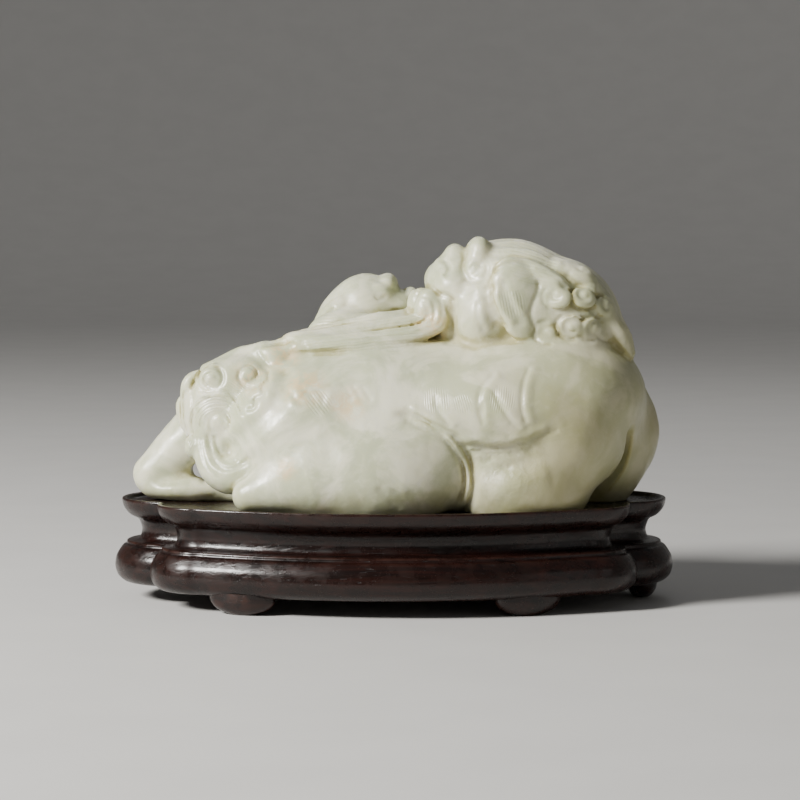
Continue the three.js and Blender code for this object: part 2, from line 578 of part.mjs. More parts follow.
function ribbon(clay) {
  // two broad bands swept back from the mouth and a narrow one behind them
  const bands = [
    [[[7.6, -8, 67.6], [10.8, -10, 66.4], [12.8, -11.6, 62.4], [12.0, -13.4, 57.4], [4, -16.0, 54.6],
      [-10, -17.4, 53.0], [-24, -17.4, 51.4], [-38, -16.0, 49.8]],
        [1.8, 2.5, 3.1, 3.3, 3.2, 3.0, 2.4, 0.9]],
    [[[6.4, -6, 65.6], [8.2, -8, 64.2], [8.6, -9.6, 61.4], [5.6, -11.4, 58.8], [-3, -12.6, 57.4],
      [-16, -13.2, 55.4], [-30, -13, 53.0], [-42, -12, 50.6]], [1.6, 2.0, 2.4, 2.6, 2.6, 2.5, 2.2, 1.2]],
    [[[5.6, -4, 60.6], [-4, -9, 59.4], [-17, -9.4, 57.2], [-30, -8, 54.4]], [2.0, 2.2, 2.0, 1.4]],
  ];
  for (const [path, radii] of bands) {
    clay.add(tube(path, radii, { flat: 1.5, face: [0, -0.8, 0.6], strands: 3.2, depth: 0.42 }), 1.2);
  }
  clay.add(blob([6.0, -5, 63.4], [2.8, 5, 5.0]), 1);
  clay.add(blob([9.6, -10.4, 62.2], [4.0, 3.2, 6.4], [0, 10, 0]), 1.0);
  clay.score([[7.2, 66.4], [10.4, 65.6], [11.6, 61.6], [10.6, 57.6], [5.6, 55.8]], 0.6, 0.4, -1, 8);
  clay.score([[7.0, 64.6], [9.0, 63.6], [9.6, 60.6], [8.0, 58.4], [3.6, 57.2]], 0.6, 0.4, -1, 8);
  // bed under the bands, so that they lie on the back
  clay.add(blob([-8, -12, 50.6], [27, 7.4, 3.4], [0, 6, 0]), 3);
  clay.add(blob([-4, -4.6, 56.4], [15, 7.4, 4.6], [0, -6, 0]), 2);
}


function relief(clay) {
  // band round the knee between two lines
  clay.score([[-2, 31.8], [4, 30.6], [10, 28.4], [17.8, 24.1], [21.6, 18.5], [23.4, 13], [23.4, 7],
    [21.4, 1], [19, -3]], 2.2, 1.15);
  clay.score([[1, 29.8], [8, 27.0], [14.4, 23.7], [18.4, 18.5], [20.4, 13.6], [20.4, 8.2], [18.4, 2.6]],
    1.5, 0.8);
  clay.score([[3, 30.0], [11, 26.8], [16.6, 23.4], [20.2, 18.5], [22.0, 13], [22.0, 7], [20, 1.6]], 1.1,
    -0.5);
  // edge of the flank over the foreleg: a crisp step with a rough hollow under it
  const edge = [[17.4, 22.8], [21.2, 22.4], [24.6, 22.8], [27.6, 21.8], [31.2, 22.2], [34.0, 22.0],
    [36.4, 23.4], [39.6, 23.6], [41.8, 25.2], [44.6, 26.0], [47.4, 27.6]];
  clay.score(edge.map(([x, z]) => [x, z - 0.8]), 1.2, 0.6);
  clay.score(edge.map(([x, z]) => [x + 0.4, z - 2.4]), 3.0, 0.35);
  clay.score(edge.map(([x, z]) => [x + 0.6, z - 6.4]), 5.4, 0.3);
  clay.score(edge.map(([x, z]) => [x, z + 1.1]), 2.0, -0.4);
  const chips = [[24.6, 19.6], [30.2, 21.2], [36.4, 19.0], [42.8, 23.8], [47.6, 26.0], [27.6, 16.6],
    [33.6, 14.6], [40.0, 20.4]];
  for (const [x, z] of chips) {
    clay.score([[x - 2.0, z + 0.9], [x, z], [x + 1.7, z + 1.2]], 1.2, 0.3);
  }
  // flame-shaped locks on the flank, each a soft ridge beside a fine curved line
  const flames = [
    [[1.6, 33.6], [6.6, 30.8], [11.0, 27.8], [15.6, 23.6]],
    [[12.0, 37.6], [12.0, 34.2], [13.8, 30.8], [16.6, 27.4]],
    [[30.4, 44.2], [26.0, 39.4], [24.8, 34.0], [26.6, 27.4]],
    [[29.4, 39.0], [31.6, 34.2], [34.8, 29.4], [37.6, 26.6]],
    [[40.8, 46.2], [38.6, 40.4], [38.0, 34.0], [39.6, 28.0]],
  ];
  for (const path of flames) {
    clay.score(path, 1.1, 0.42);
    clay.score(path.map(([x, z]) => [x + 1.9, z + 0.2]), 2.4, -0.3);
  }
  clay.cut(blob([26.0, -43.0, 33.6], [1.5, 3, 6.0], [0, 6, 10]), 0.5);
  clay.cut(blob([14.6, -44.0, 32.2], [1.6, 3, 3.8], [0, -12, -8]), 0.5);
  // worn tufts on the rump, low and uneven
  clay.score([[-37.0, 38.0], [-34.4, 39.8], [-31.4, 38.6], [-29.0, 36.4]], 1.8, -0.2);
  clay.score([[-29.4, 39.0], [-26.0, 39.6], [-22.6, 39.2], [-20.4, 37.4], [-21.6, 34.4], [-20.0, 31.6]],
    1.8, -0.25);
  clay.score([[-34.0, 36.6], [-32.0, 34.0], [-28.6, 32.2], [-25.0, 33.6], [-21.6, 31.0]], 1.5, -0.18);
  clay.score([[-33.4, 38.0], [-31.0, 35.4], [-28.4, 33.8]], 0.9, 0.2);
  clay.score([[-28.6, 38.0], [-26.2, 36.6], [-24.6, 33.6]], 0.9, 0.2);
  clay.score([[-25.0, 38.4], [-22.8, 36.4], [-22.4, 33.8]], 0.9, 0.18);
  for (let i = 0; i < 3; i++) {
    clay.score([[-17.0 + 3.0 * i, 40.6 - 0.4 * i], [-13.6 + 3.0 * i, 35.4 - 0.4 * i]], 0.8, 0.16);
  }
  // far side, plainer: band round the knee, shoulder lines and spine
  clay.score([[2, 30.6], [10, 28.4], [17.8, 24.1], [22, 17], [22.6, 9], [20, 1]], 2.8, 1.4, 1, 18);
  clay.score([[4, 28.0], [12, 25.0], [18.4, 18.5], [20, 10], [18.4, 2.6]], 1.5, 0.6, 1, 18);
  clay.score([[30, 44], [28, 38], [29, 31]], 1.6, 0.6, 1, 18);
  clay.score([[38, 45], [36, 38], [37.4, 31]], 1.6, 0.6, 1, 18);
  clay.score([[46, 45], [44.6, 39], [46, 33]], 1.6, 0.6, 1, 18);
  // soft muscle lines of the foreleg
  clay.score([[28, 6], [37, 10], [47, 14]], 4.4, -0.4);
  clay.score([[27, 12], [35, 15.4], [43, 19.4]], 3.0, 0.3);
  // toes of the near hind paw
  for (let i = 0; i < 3; i++) {
    clay.score([[-6 + 4.4 * i, 9.6 - 0.8 * i], [-2.6 + 4.4 * i, 5.8 - 0.5 * i], [1.4 + 4.4 * i, 2.0]],
      2.0, 0.28);

  }
}

// faceting

// Fills the saddles of the field, where inside and outside corners of a grid square alternate,
// so that every edge of the surface lies between exactly two faces.
function fill_saddles(clay) {
  const { n, d } = clay;
  const steps = [[1, 0, 0], [0, 1, 0], [0, 0, 1]].map(([a, b, c]) => clay.index(a, b, c));
  let filled = 1;
  while (filled) {
    filled = 0;
    for (let i = 0; i + 1 < n[0]; i++) {
      for (let j = 0; j + 1 < n[1]; j++) {
        for (let k = 0; k + 1 < n[2]; k++) {
          const at = clay.index(i, j, k);
          for (const [s, t] of [[0, 1], [1, 2], [2, 0]]) {
            const ring = [at, at + steps[s], at + steps[s] + steps[t], at + steps[t]];
            const [a, b, c, e] = ring.map((id) => d[id] < 0);
            if (a === c && b === e && a !== b) {
              const [p, q] = a ? [ring[1], ring[3]] : [ring[0], ring[2]];
              d[d[p] < d[q] ? p : q] = -0.02 * clay.step;
              filled += 1;
            }
          }
        }
      }
    }
  }
}

// Surface of the field as triangles: one point per crossed cell, quads across crossed edges.
function surface(clay) {
  fill_saddles(clay);
  const { n, d } = clay;
  const [nx, ny, nz] = n.map((v) => v - 1);
  const owner = new Int32Array(nx * ny * nz).fill(-1);
  const cell_id = (i, j, k) => (i * ny + j) * nz + k;
  const corners = [];
  for (let c = 0; c < 8; c++) {
    corners.push([c & 1, (c >> 1) & 1, (c >> 2) & 1]);
  }
  const edges = [];
  for (let a = 0; a < 8; a++) {
    for (const bit of [1, 2, 4]) {
      if (!(a & bit)) {
        edges.push([a, a | bit]);
      }
    }
  }
  const points = [];
  for (let i = 0; i < nx; i++) {
    for (let j = 0; j < ny; j++) {
      for (let k = 0; k < nz; k++) {
        const value = corners.map(([a, b, c]) => d[clay.index(i + a, j + b, k + c)]);
        const inside = value.filter((v) => v < 0).length;
        if (inside === 0 || inside === 8) {
          continue;
        }
        const sum = [0, 0, 0];
        let hits = 0;
        for (const [a, b] of edges) {
          if ((value[a] < 0) !== (value[b] < 0)) {
            const t = value[a] / (value[a] - value[b]);
            for (let m = 0; m < 3; m++) {
              sum[m] += corners[a][m] + t * (corners[b][m] - corners[a][m]);
            }
            hits += 1;
          }
        }
        owner[cell_id(i, j, k)] = points.length;
        points.push([i, j, k].map((v, m) => clay.lo[m] + (v + sum[m] / hits) * clay.step));
      }
    }
  }
  const faces = [];
  for (let i = 1; i < nx; i++) {
    for (let j = 1; j < ny; j++) {
      for (let k = 1; k < nz; k++) {
        const here = d[clay.index(i, j, k)] < 0;
        const ring = [
          [[1, 0, 0], [[0, 1, 1], [0, 0, 1], [0, 0, 0], [0, 1, 0]]],
          [[0, 1, 0], [[1, 0, 1], [1, 0, 0], [0, 0, 0], [0, 0, 1]]],
          [[0, 0, 1], [[1, 1, 0], [0, 1, 0], [0, 0, 0], [1, 0, 0]]],
        ];
        for (const [step, around] of ring) {
          const there = d[clay.index(i + step[0], j + step[1], k + step[2])] < 0;
          if (here === there) {
            continue;
          }
          const q = around.map(([a, b, c]) => owner[cell_id(i - a, j - b, k - c)]);
          if (!here) {
            q.reverse();
          }
          faces.push([q[0], q[1], q[2]], [q[0], q[2], q[3]]);
        }
      }
    }
  }
  return { points, faces };
}

// Thins a closed mesh to a number of faces by joining the edges that change the form least.
function thin_out(points, faces, target) {
  const count = points.length;
  const quadric = Array.from({ length: count }, () => new Float64Array(10));
  const around = Array.from({ length: count }, () => new Set());
  const plane_of = ([a, b, c]) => {
    const pa = points[a];
    const n = cross(points[b].map((v, k) => v - pa[k]), points[c].map((v, k) => v - pa[k]));
    const area = Math.hypot(...n) || 1e-12;
    const m = n.map((v) => v / area);
    return { normal: m, offset: -dot(m, pa), area: area / 2 };
  };
  faces.forEach((face, f) => {
    const { normal: [x, y, z], offset: w, area } = plane_of(face);
    const q = [x * x, x * y, x * z, x * w, y * y, y * z, y * w, z * z, z * w, w * w];
    for (const v of face) {
      around[v].add(f);
      q.forEach((value, k) => {
        quadric[v][k] += value * area;
      });
    }
  });
  const cost_at = (q, [x, y, z]) => q[0] * x * x + 2 * q[1] * x * y + 2 * q[2] * x * z + 2 * q[3] * x
    + q[4] * y * y + 2 * q[5] * y * z + 2 * q[6] * y + q[7] * z * z + 2 * q[8] * z + q[9];
  const best_point = (a, b) => {
    const q = quadric[a].map((v, k) => v + quadric[b][k]);
    const m = new THREE.Matrix3().set(q[0], q[1], q[2], q[1], q[4], q[5], q[2], q[5], q[7]);
    const middle = points[a].map((v, k) => (v + points[b][k]) / 2);
    const options = [middle, points[a], points[b]];
    const size = (q[0] + q[4] + q[7]) / 3;
    if (Math.abs(m.determinant()) > 1e-3 * size ** 3) {
      const p = new THREE.Vector3(-q[3], -q[6], -q[8]).applyMatrix3(m.invert());
      const length = Math.hypot(...points[a].map((v, k) => v - points[b][k]));
      if (p.distanceTo(new THREE.Vector3(...middle)) < 1.5 * length) {
        options.unshift(p.toArray());
      }
    }
    let best = null;
    for (const p of options) {
      const cost = cost_at(q, p);
      if (!best || cost < best.cost - 1e-9) {
        best = { cost, p };
      }
    }
    return best;
  };

  // heap of edges, cheapest first; an entry is stale once either end has moved
  const heap = [];
  const stamp = new Int32Array(count);
  const push = (item) => {
    let i = heap.push(item) - 1;
    while (i > 0) {
      const up = (i - 1) >> 1;
      if (heap[up].cost <= heap[i].cost) {
        break;
      }
      [heap[up], heap[i]] = [heap[i], heap[up]];
      i = up;
    }
  };
  const pop = () => {
    const top = heap[0];
    const last = heap.pop();
    if (heap.length) {
      heap[0] = last;
      let i = 0;
      for (;;) {
        const l = 2 * i + 1;
        const r = l + 1;
        let m = i;
        if (l < heap.length && heap[l].cost < heap[m].cost) {
          m = l;
        }
        if (r < heap.length && heap[r].cost < heap[m].cost) {
          m = r;
        }
        if (m === i) {
          break;
        }
        [heap[m], heap[i]] = [heap[i], heap[m]];
        i = m;
      }
    }
    return top;
  };
  const queue_edge = (a, b) => {
    const { cost, p } = best_point(a, b);
    const length = Math.hypot(...points[a].map((v, k) => v - points[b][k]));
    push({ a, b, p, cost: Math.max(cost, 0) + 1e-4 * length * length, sa: stamp[a], sb: stamp[b] });
  };
  const neighbours = (v) => {
    const out = new Set();
    for (const f of around[v]) {
      for (const w of faces[f]) {
        out.add(w);
      }
    }
    out.delete(v);
    return out;
  };
  faces.forEach(([a, b, c]) => {
    for (const [p, q] of [[a, b], [b, c], [c, a]]) {
      if (p < q) {
        queue_edge(p, q);
      }
    }
  });
  let left = faces.length;
  while (left > target && heap.length) {
    const { a, b, p, sa, sb } = pop();
    if (stamp[a] !== sa || stamp[b] !== sb) {
      continue;
    }
    const next_a = neighbours(a);
    const next_b = neighbours(b);
    if ([...next_a].filter((v) => next_b.has(v)).length !== 2) {
      continue;
    }
    const folds = [a, b].some((v) => [...around[v]].some((f) => {
      if (faces[f].includes(a) && faces[f].includes(b)) {
        return false;
      }
      const before = plane_of(faces[f]).normal;
      const [x, y, z] = faces[f].map((w) => (w === v ? p : points[w]));
      const n = cross(y.map((w, k) => w - x[k]), z.map((w, k) => w - x[k]));
      const area = Math.hypot(...n);
      const longest = Math.max(...[[x, y], [y, z], [z, x]].map(([s, t]) => (
        Math.hypot(...s.map((w, k) => w - t[k])))));
      return area < 0.04 * longest * longest || dot(n, before) < 0.3 * area;
    }));
    if (folds) {
      continue;
    }
    points[a] = p;
    quadric[b].forEach((v, k) => {
      quadric[a][k] += v;
    });
    for (const f of [...around[b]]) {
      if (faces[f].includes(a)) {
        for (const v of faces[f]) {
          around[v].delete(f);
        }
        faces[f] = null;
        left -= 1;
      } else {
        faces[f] = faces[f].map((v) => (v === b ? a : v));
        around[a].add(f);
      }
    }
    around[b].clear();
    stamp[b] += 1;
    stamp[a] += 1;
    for (const v of neighbours(a)) {
      queue_edge(Math.min(a, v), Math.max(a, v));
    }
  }
  const kept = faces.filter((f) => f);
  const number = new Map();
  const out = [];
  const used = kept.map((f) => f.map((v) => {
    if (!number.has(v)) {
      number.set(v, out.length);
      out.push(points[v]);
    }
    return number.get(v);
  }));
  return { points: out, faces: used };
}

// solids

const wasm = await Module();
wasm.setup();

function solid_of(points, faces) {
  const mesh = new wasm.Mesh({
    numProp: 3,
    vertProperties: new Float32Array(points.flat()),
    triVerts: new Uint32Array(faces.flat()),
  });
  return new wasm.Manifold(mesh);
}

function geometry_of(solid) {
  const mesh = solid.getMesh();
  const flat = new THREE.BufferGeometry();
  const positions = [];
  for (let v = 0; v < mesh.numVert; v++) {
    for (let k = 0; k < 3; k++) {
      positions.push(mesh.vertProperties[v * mesh.numProp + k]);
    }
  }
  flat.setAttribute('position', new THREE.Float32BufferAttribute(positions, 3));
  flat.setIndex([...mesh.triVerts]);
  const geometry = flat.toNonIndexed();
  geometry.computeVertexNormals();
  return geometry;
}

// Stack of closed rings of points, closed at both ends by flat lids.
function lofted(rings) {
  const count = rings[0].length;
  const faces = [];
  for (let r = 0; r + 1 < rings.length; r++) {
    for (let i = 0; i < count; i++) {
      const a = r * count + i;
      const b = r * count + (i + 1) % count;
      faces.push([a, b, b + count], [a, b + count, a + count]);
    }
  }
  const lid = (ring, first, upward) => {
    const flat = ring.map(([x, y]) => new THREE.Vector2(x, y));
    for (const t of THREE.ShapeUtils.triangulateShape(flat, [])) {
      const f = t.map((v) => v + first);
      faces.push(upward ? f : f.reverse());
    }
  };
  lid(rings[0], 0, false);
  lid(rings[rings.length - 1], (rings.length - 1) * count, true);
  return solid_of(rings.flat(), faces);
}

// Points along an arc from a to b that bulges to the right of the way.
function bulged(a, b, bulge, segments) {
  const chord = Math.hypot(b[0] - a[0], b[1] - a[1]);
  const radius = ((chord / 2) ** 2 + bulge ** 2) / (2 * bulge);
  const along = [(b[0] - a[0]) / chord, (b[1] - a[1]) / chord];
  const out = [along[1], -along[0]];
  const centre = [0, 1].map((k) => (a[k] + b[k]) / 2 + out[k] * (bulge - radius));
  const half = bulge > radius ? Math.PI - Math.asin(chord / 2 / radius) : Math.asin(chord / 2 / radius);
  const points = [];
  for (let i = 0; i < segments; i++) {
    const t = -half + 2 * half * i / segments;
    points.push([0, 1].map((k) => centre[k] + radius * (out[k] * Math.cos(t) + along[k] * Math.sin(t))));
  }
  return points;
}

// Outline of the stand seen from above: end lobes, front and back lobes, small corner lobes.
function stand_outline() {
  const end_x = stand_length / 2 - end_lobe_bulge;
  const end_y = end_lobe_width / 2;
  const front_x = front_lobe_width / 2;
  const front_y = stand_depth / 2 - front_lobe_bulge;
  const side = Math.round(lobe_segments / 3);
  const near = [
    ...bulged([-front_x, -front_y], [front_x, -front_y], front_lobe_bulge, lobe_segments),
    ...bulged([front_x, -front_y], [end_x, -end_y], corner_lobe_bulge, side),
    ...bulged([end_x, -end_y], [end_x, end_y], end_lobe_bulge, lobe_segments * 2 / 3),
    ...bulged([end_x, end_y], [front_x, front_y], corner_lobe_bulge, side),
  ];
  return [...near, ...near.map(([x, y]) => [-x, -y])];
}

// The outline moved inwards, at a height.
function inset(outline, amount, z) {
  const n = outline.length;
  return outline.map((p, i) => {
    const a = outline[(i + n - 1) % n];
    const b = outline[(i + 1) % n];
    const e0 = unit([p[0] - a[0], p[1] - a[1]]);
    const e1 = unit([b[0] - p[0], b[1] - p[1]]);
    const n0 = [-e0[1], e0[0]];
    const n1 = [-e1[1], e1[0]];
    const m = unit([n0[0] + n1[0], n0[1] + n1[1]]);
    const reach = amount / Math.max(0.55, m[0] * n0[0] + m[1] * n0[1]);
    return [p[0] + m[0] * reach, p[1] + m[1] * reach, z];
  });
}

function stand() {
  const outline = stand_outline();
  const low = lower_flange_height;
  const high = upper_flange_height;
  // inset and height of each ring, from the underside up, over the lip and down to the seat
  const profile = [
    [3.2, foot_height],
    [0.9, foot_height + 0.14 * low],
    [0, foot_height + 0.36 * low],
    [0.5, foot_height + 0.6 * low],
    [2.6, foot_height + 0.84 * low],
    [3.9, foot_height + 0.87 * low],
    [3.9, waist_z - 0.04 * low],
    [waist_inset - 0.8, waist_z],
    [waist_inset, waist_z + 0.45 * waist_height],
    [waist_inset - 1.2, flange_z],
    [waist_inset - 4.2, flange_z + 0.2 * high],
    [rim_inset + 0.5, flange_z + 0.55 * high],
    [rim_inset, rim_z - 0.5],
    [rim_inset + 0.4, rim_z],
    [rim_inset + lip_width, rim_z],
    [rim_inset + lip_width + 0.7, seat_z],
  ];
  let body = lofted(profile.map(([amount, z]) => inset(outline, amount, z)));
  // feet: angle of the outward side in degrees, and where the foot stands
  const feet = [
    { x: -0.52, y: -0.72, angle: -112 },
    { x: 0.46, y: -0.74, angle: -68 },
    { x: 0.89, y: 0.03, angle: 0 },
    { x: 0.24, y: 0.82, angle: 82 },
    { x: -0.62, y: 0.62, angle: 122 },
  ];
  for (const { x, y, angle } of feet) {
    body = body.add(foot(x * stand_length / 2, y * stand_depth / 2, angle));
  }
  return body;
}

// Low foot, wide at the top and curving in to a narrow flat at the floor.
function foot(cx, cy, angle) {
  const turn = THREE.MathUtils.degToRad(angle);
  const out = [Math.cos(turn), Math.sin(turn)];
  const levels = [[0.3, 0.45, 0], [0.62, 0.68, 0.12], [0.86, 0.88, 0.4], [1, 1, 0.8], [1, 1, 1.3]];
  const rings = levels.map(([wide, thick, up]) => {
    const ring = [];
    const n = 10;
    for (let i = 0; i < n; i++) {
      const a = 2 * Math.PI * i / n;
      const u = Math.cos(a) * foot_width / 2 * wide;
      const v = Math.sin(a) * foot_thickness / 2 * thick;
      ring.push([cx + out[0] * v - out[1] * u, cy + out[1] * v + out[0] * u, foot_height * up]);
    }
    return inset_order(ring);
  });
  return lofted(rings);
}

// The same ring, running anticlockwise seen from above.
function inset_order(ring) {
  let area = 0;
  ring.forEach(([x, y], i) => {
    const [u, v] = ring[(i + 1) % ring.length];
    area += x * v - u * y;
  });
  return area > 0 ? ring : ring.reverse();
}

function carving() {
  const clay = new Clay([-91, -49, -7], [89, 51, 91], cell);
  carve(clay);
  // closed just under the seat, so that the flat underside can be cut exactly
  clay.change([-100, -60, -10], [100, 60, 2], (a, x, y, z) => Math.max(a, -(z + 3)));
  const net = surface(clay);
  const whole = solid_of(net.points, net.faces).trimByPlane([0, 0, 1], 0);
  // only the main body is kept, should the field hold a loose crumb
  const bodies = whole.decompose().sort((a, b) => b.volume() - a.volume());
  const fine = bodies[0].getMesh();
  const points = [];
  for (let v = 0; v < fine.numVert; v++) {
    points.push([0, 1, 2].map((k) => fine.vertProperties[v * fine.numProp + k]));
  }
  const faces = [];
  for (let f = 0; f < fine.numTri; f++) {
    faces.push([...fine.triVerts.slice(3 * f, 3 * f + 3)]);
  }
  const thin = thin_out(points, faces, carving_faces);
  const flat = thin.points.map(([x, y, z]) => [x, y, z < 0.05 ? 0 : z]);
  const body = solid_of(flat, thin.faces);
  const box = body.boundingBox();
  const share = carving_length / nominal_length;
  const middle = (box.min[0] + box.max[0]) / 2;
  return body
    .translate([-middle, 0, 0])
    .scale(share * nominal_length / (box.max[0] - box.min[0]))
    .translate([carving_shift_x, carving_shift_y * share, seat_z]);
}

function part(name, solid, colour, roughness) {
  const material = new THREE.MeshStandardMaterial({ color: colour, roughness, metalness: 0 });
  material.name = name;
  const mesh = new THREE.Mesh(geometry_of(solid), material);
  mesh.name = name;
  return mesh;
}

const group = new THREE.Group();
group.name = 'jade_lion_on_stand';
group.add(part('jade_lion', carving(), 0xd3d5c4, 0.3));
group.add(part('wooden_stand', stand(), 0x1f100d, 0.3));

export default group;
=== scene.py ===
"""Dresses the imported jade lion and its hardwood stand: fine carving, stone, wood and studio."""
import math

import bmesh
import bpy
import numpy as np
from bpy.props import FloatProperty, FloatVectorProperty, PointerProperty
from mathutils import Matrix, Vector


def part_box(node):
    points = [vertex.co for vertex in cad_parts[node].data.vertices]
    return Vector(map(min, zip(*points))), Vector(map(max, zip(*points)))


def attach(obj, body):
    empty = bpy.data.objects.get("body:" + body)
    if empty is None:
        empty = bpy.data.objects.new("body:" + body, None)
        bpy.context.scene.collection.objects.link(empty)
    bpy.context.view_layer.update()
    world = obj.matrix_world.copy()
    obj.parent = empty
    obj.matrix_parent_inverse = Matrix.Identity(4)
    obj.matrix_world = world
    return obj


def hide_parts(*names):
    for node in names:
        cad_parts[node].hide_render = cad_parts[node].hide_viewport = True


bl_info = {
    "name": "Jade lion on a hardwood stand",
    "version": (1, 0, 0),
    "blender": (4, 5, 0),
    "location": "View3D > Sidebar > Jade lion",
    "description": "Builds a recumbent jade lion with its cub on a lobed hardwood stand",
    "category": "Object",
}

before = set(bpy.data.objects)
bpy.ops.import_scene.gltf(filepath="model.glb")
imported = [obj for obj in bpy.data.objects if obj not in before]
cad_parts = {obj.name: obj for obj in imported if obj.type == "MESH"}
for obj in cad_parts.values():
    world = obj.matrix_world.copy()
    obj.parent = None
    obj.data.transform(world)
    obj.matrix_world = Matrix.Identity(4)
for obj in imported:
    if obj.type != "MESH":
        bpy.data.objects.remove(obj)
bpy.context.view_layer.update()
MM = 0.001


# Sizes and colours that can be changed

class JadeSettings(bpy.types.PropertyGroup):
    """Finish of the carved stone."""

    grain_step: FloatProperty(
        name="Carving step", description="Spacing of the grid that the carving is worked on",
        default=0.00056, min=0.0004, max=0.002, precision=5, unit="LENGTH")
    body_colour: FloatVectorProperty(
        name="Stone", description="Pale greenish white of the polished stone",
        default=(0.55, 0.575, 0.385), subtype="COLOR", min=0, max=1)
    cloud_colour: FloatVectorProperty(
        name="Clouds", description="Milky patches inside the stone",
        default=(0.77, 0.755, 0.58), subtype="COLOR", min=0, max=1)
    # painted shade and glow: this olive yellow is laid into hollows, thin edges, the foot and the
    # low chest of the stone, in place of shadow and of light seen through it
    painted_shade_colour: FloatVectorProperty(
        name="Hollows", description="Olive yellow that shows in hollows and thin edges",
        default=(0.36, 0.32, 0.11), subtype="COLOR", min=0, max=1)
    vein_colour: FloatVectorProperty(
        name="Veins", description="Russet tinge of the worn tufts and fine cracks",
        default=(0.74, 0.58, 0.32), subtype="COLOR", min=0, max=1)
    gloss: FloatProperty(
        name="Roughness", description="Roughness of the waxy polish",
        default=0.34, min=0.05, max=0.9)
    depth: FloatProperty(
        name="Light depth", description="How far light travels inside the stone",
        default=0.003, min=0.0, max=0.05, precision=4, unit="LENGTH")


class StandSettings(bpy.types.PropertyGroup):
    """Sizes and finish of the fitted stand."""

    wood_colour: FloatVectorProperty(
        name="Wood", description="Near black of the polished hardwood",
        default=(0.0045, 0.0022, 0.0018), subtype="COLOR", min=0, max=1)
    grain_colour: FloatVectorProperty(
        name="Grain", description="Red brown of the grain",
        default=(0.016, 0.005, 0.0036), subtype="COLOR", min=0, max=1)
    worn_colour: FloatVectorProperty(
        name="Worn edge", description="Lighter brown along rubbed edges",
        default=(0.05, 0.019, 0.012), subtype="COLOR", min=0, max=1)
    lip_width: FloatProperty(
        name="Lip", description="Width of the rim round the sunken seat",
        default=0.0015, min=0.0005, max=0.006, precision=4, unit="LENGTH")
    gloss: FloatProperty(
        name="Roughness", description="Roughness of the waxed wood",
        default=0.27, min=0.05, max=0.9)


class StudioSettings(bpy.types.PropertyGroup):
    """Floor and lights."""

    floor_colour: FloatVectorProperty(
        name="Floor", description="Colour of the plain floor",
        default=(0.62, 0.61, 0.59), subtype="COLOR", min=0, max=1)
    key_power: FloatProperty(
        name="Key light", description="Power of the large soft light on the left",
        default=33.0, min=0, max=200, unit="POWER")
    fill_power: FloatProperty(
        name="Fill light", description="Power of the weak light on the right",
        default=0.3, min=0, max=200, unit="POWER")
    sky: FloatProperty(
        name="Room light", description="Strength of the even light of the room",
        default=0.12, min=0, max=5)


# Sculpting on a grid of distances, in millimetres

# distance far from any form, and room left round each form
OUTSIDE = 40.0
MARGIN = 1.5
# thickness over which a scored line fades out towards the middle plane
FLANK_FADE = 2.0
# the eight corners of a grid cell
CORNERS = [(i, j, k) for i in (0, 1) for j in (0, 1) for k in (0, 1)]


def unit(v):
    """The vector at length one."""
    v = np.asarray(v, float)
    return v / np.linalg.norm(v)


def turned(degrees):
    """Rotation matrix for turns about x, then y, then z, in degrees."""
    ax, ay, az = (math.radians(a) for a in degrees)
    cx, cy, cz = (math.cos(a) for a in (ax, ay, az))
    sx, sy, sz = (math.sin(a) for a in (ax, ay, az))
    rx = np.array([[1, 0, 0], [0, cx, -sx], [0, sx, cx]])
    ry = np.array([[cy, 0, sy], [0, 1, 0], [-sy, 0, cy]])
    rz = np.array([[cz, -sz, 0], [sz, cz, 0], [0, 0, 1]])
    return rz @ ry @ rx


def spline(points, per=5):
    """Catmull-Rom through the points, each with any number of columns."""
    p = np.asarray(points, float)
    ext = np.vstack([2 * p[0] - p[1], p, 2 * p[-1] - p[-2]])
    out = []
    for i in range(1, len(ext) - 2):
        for j in range(per):
            t = j / per
            a, b, c, d = ext[i - 1], ext[i], ext[i + 1], ext[i + 2]
            out.append(0.5 * (2 * b + (c - a) * t + (2 * a - 5 * b + 4 * c - d) * t * t
                              + (3 * b - a - 3 * c + d) * t ** 3))
    out.append(p[-1])
    return np.array(out)


def smooth_step(x, lo, hi):
    """Smooth rise from 0 at lo to 1 at hi."""
    t = np.clip((x - lo) / (hi - lo), 0, 1)
    return t * t * (3 - 2 * t)


def stroke(dist, share, width, end):
    """Profile of a stroke: full on its line, fading at its sides and over both its ends."""
    return smooth_step(dist, width, 0) * smooth_step(share, 0, end) * smooth_step(share, 1, 1 - end)


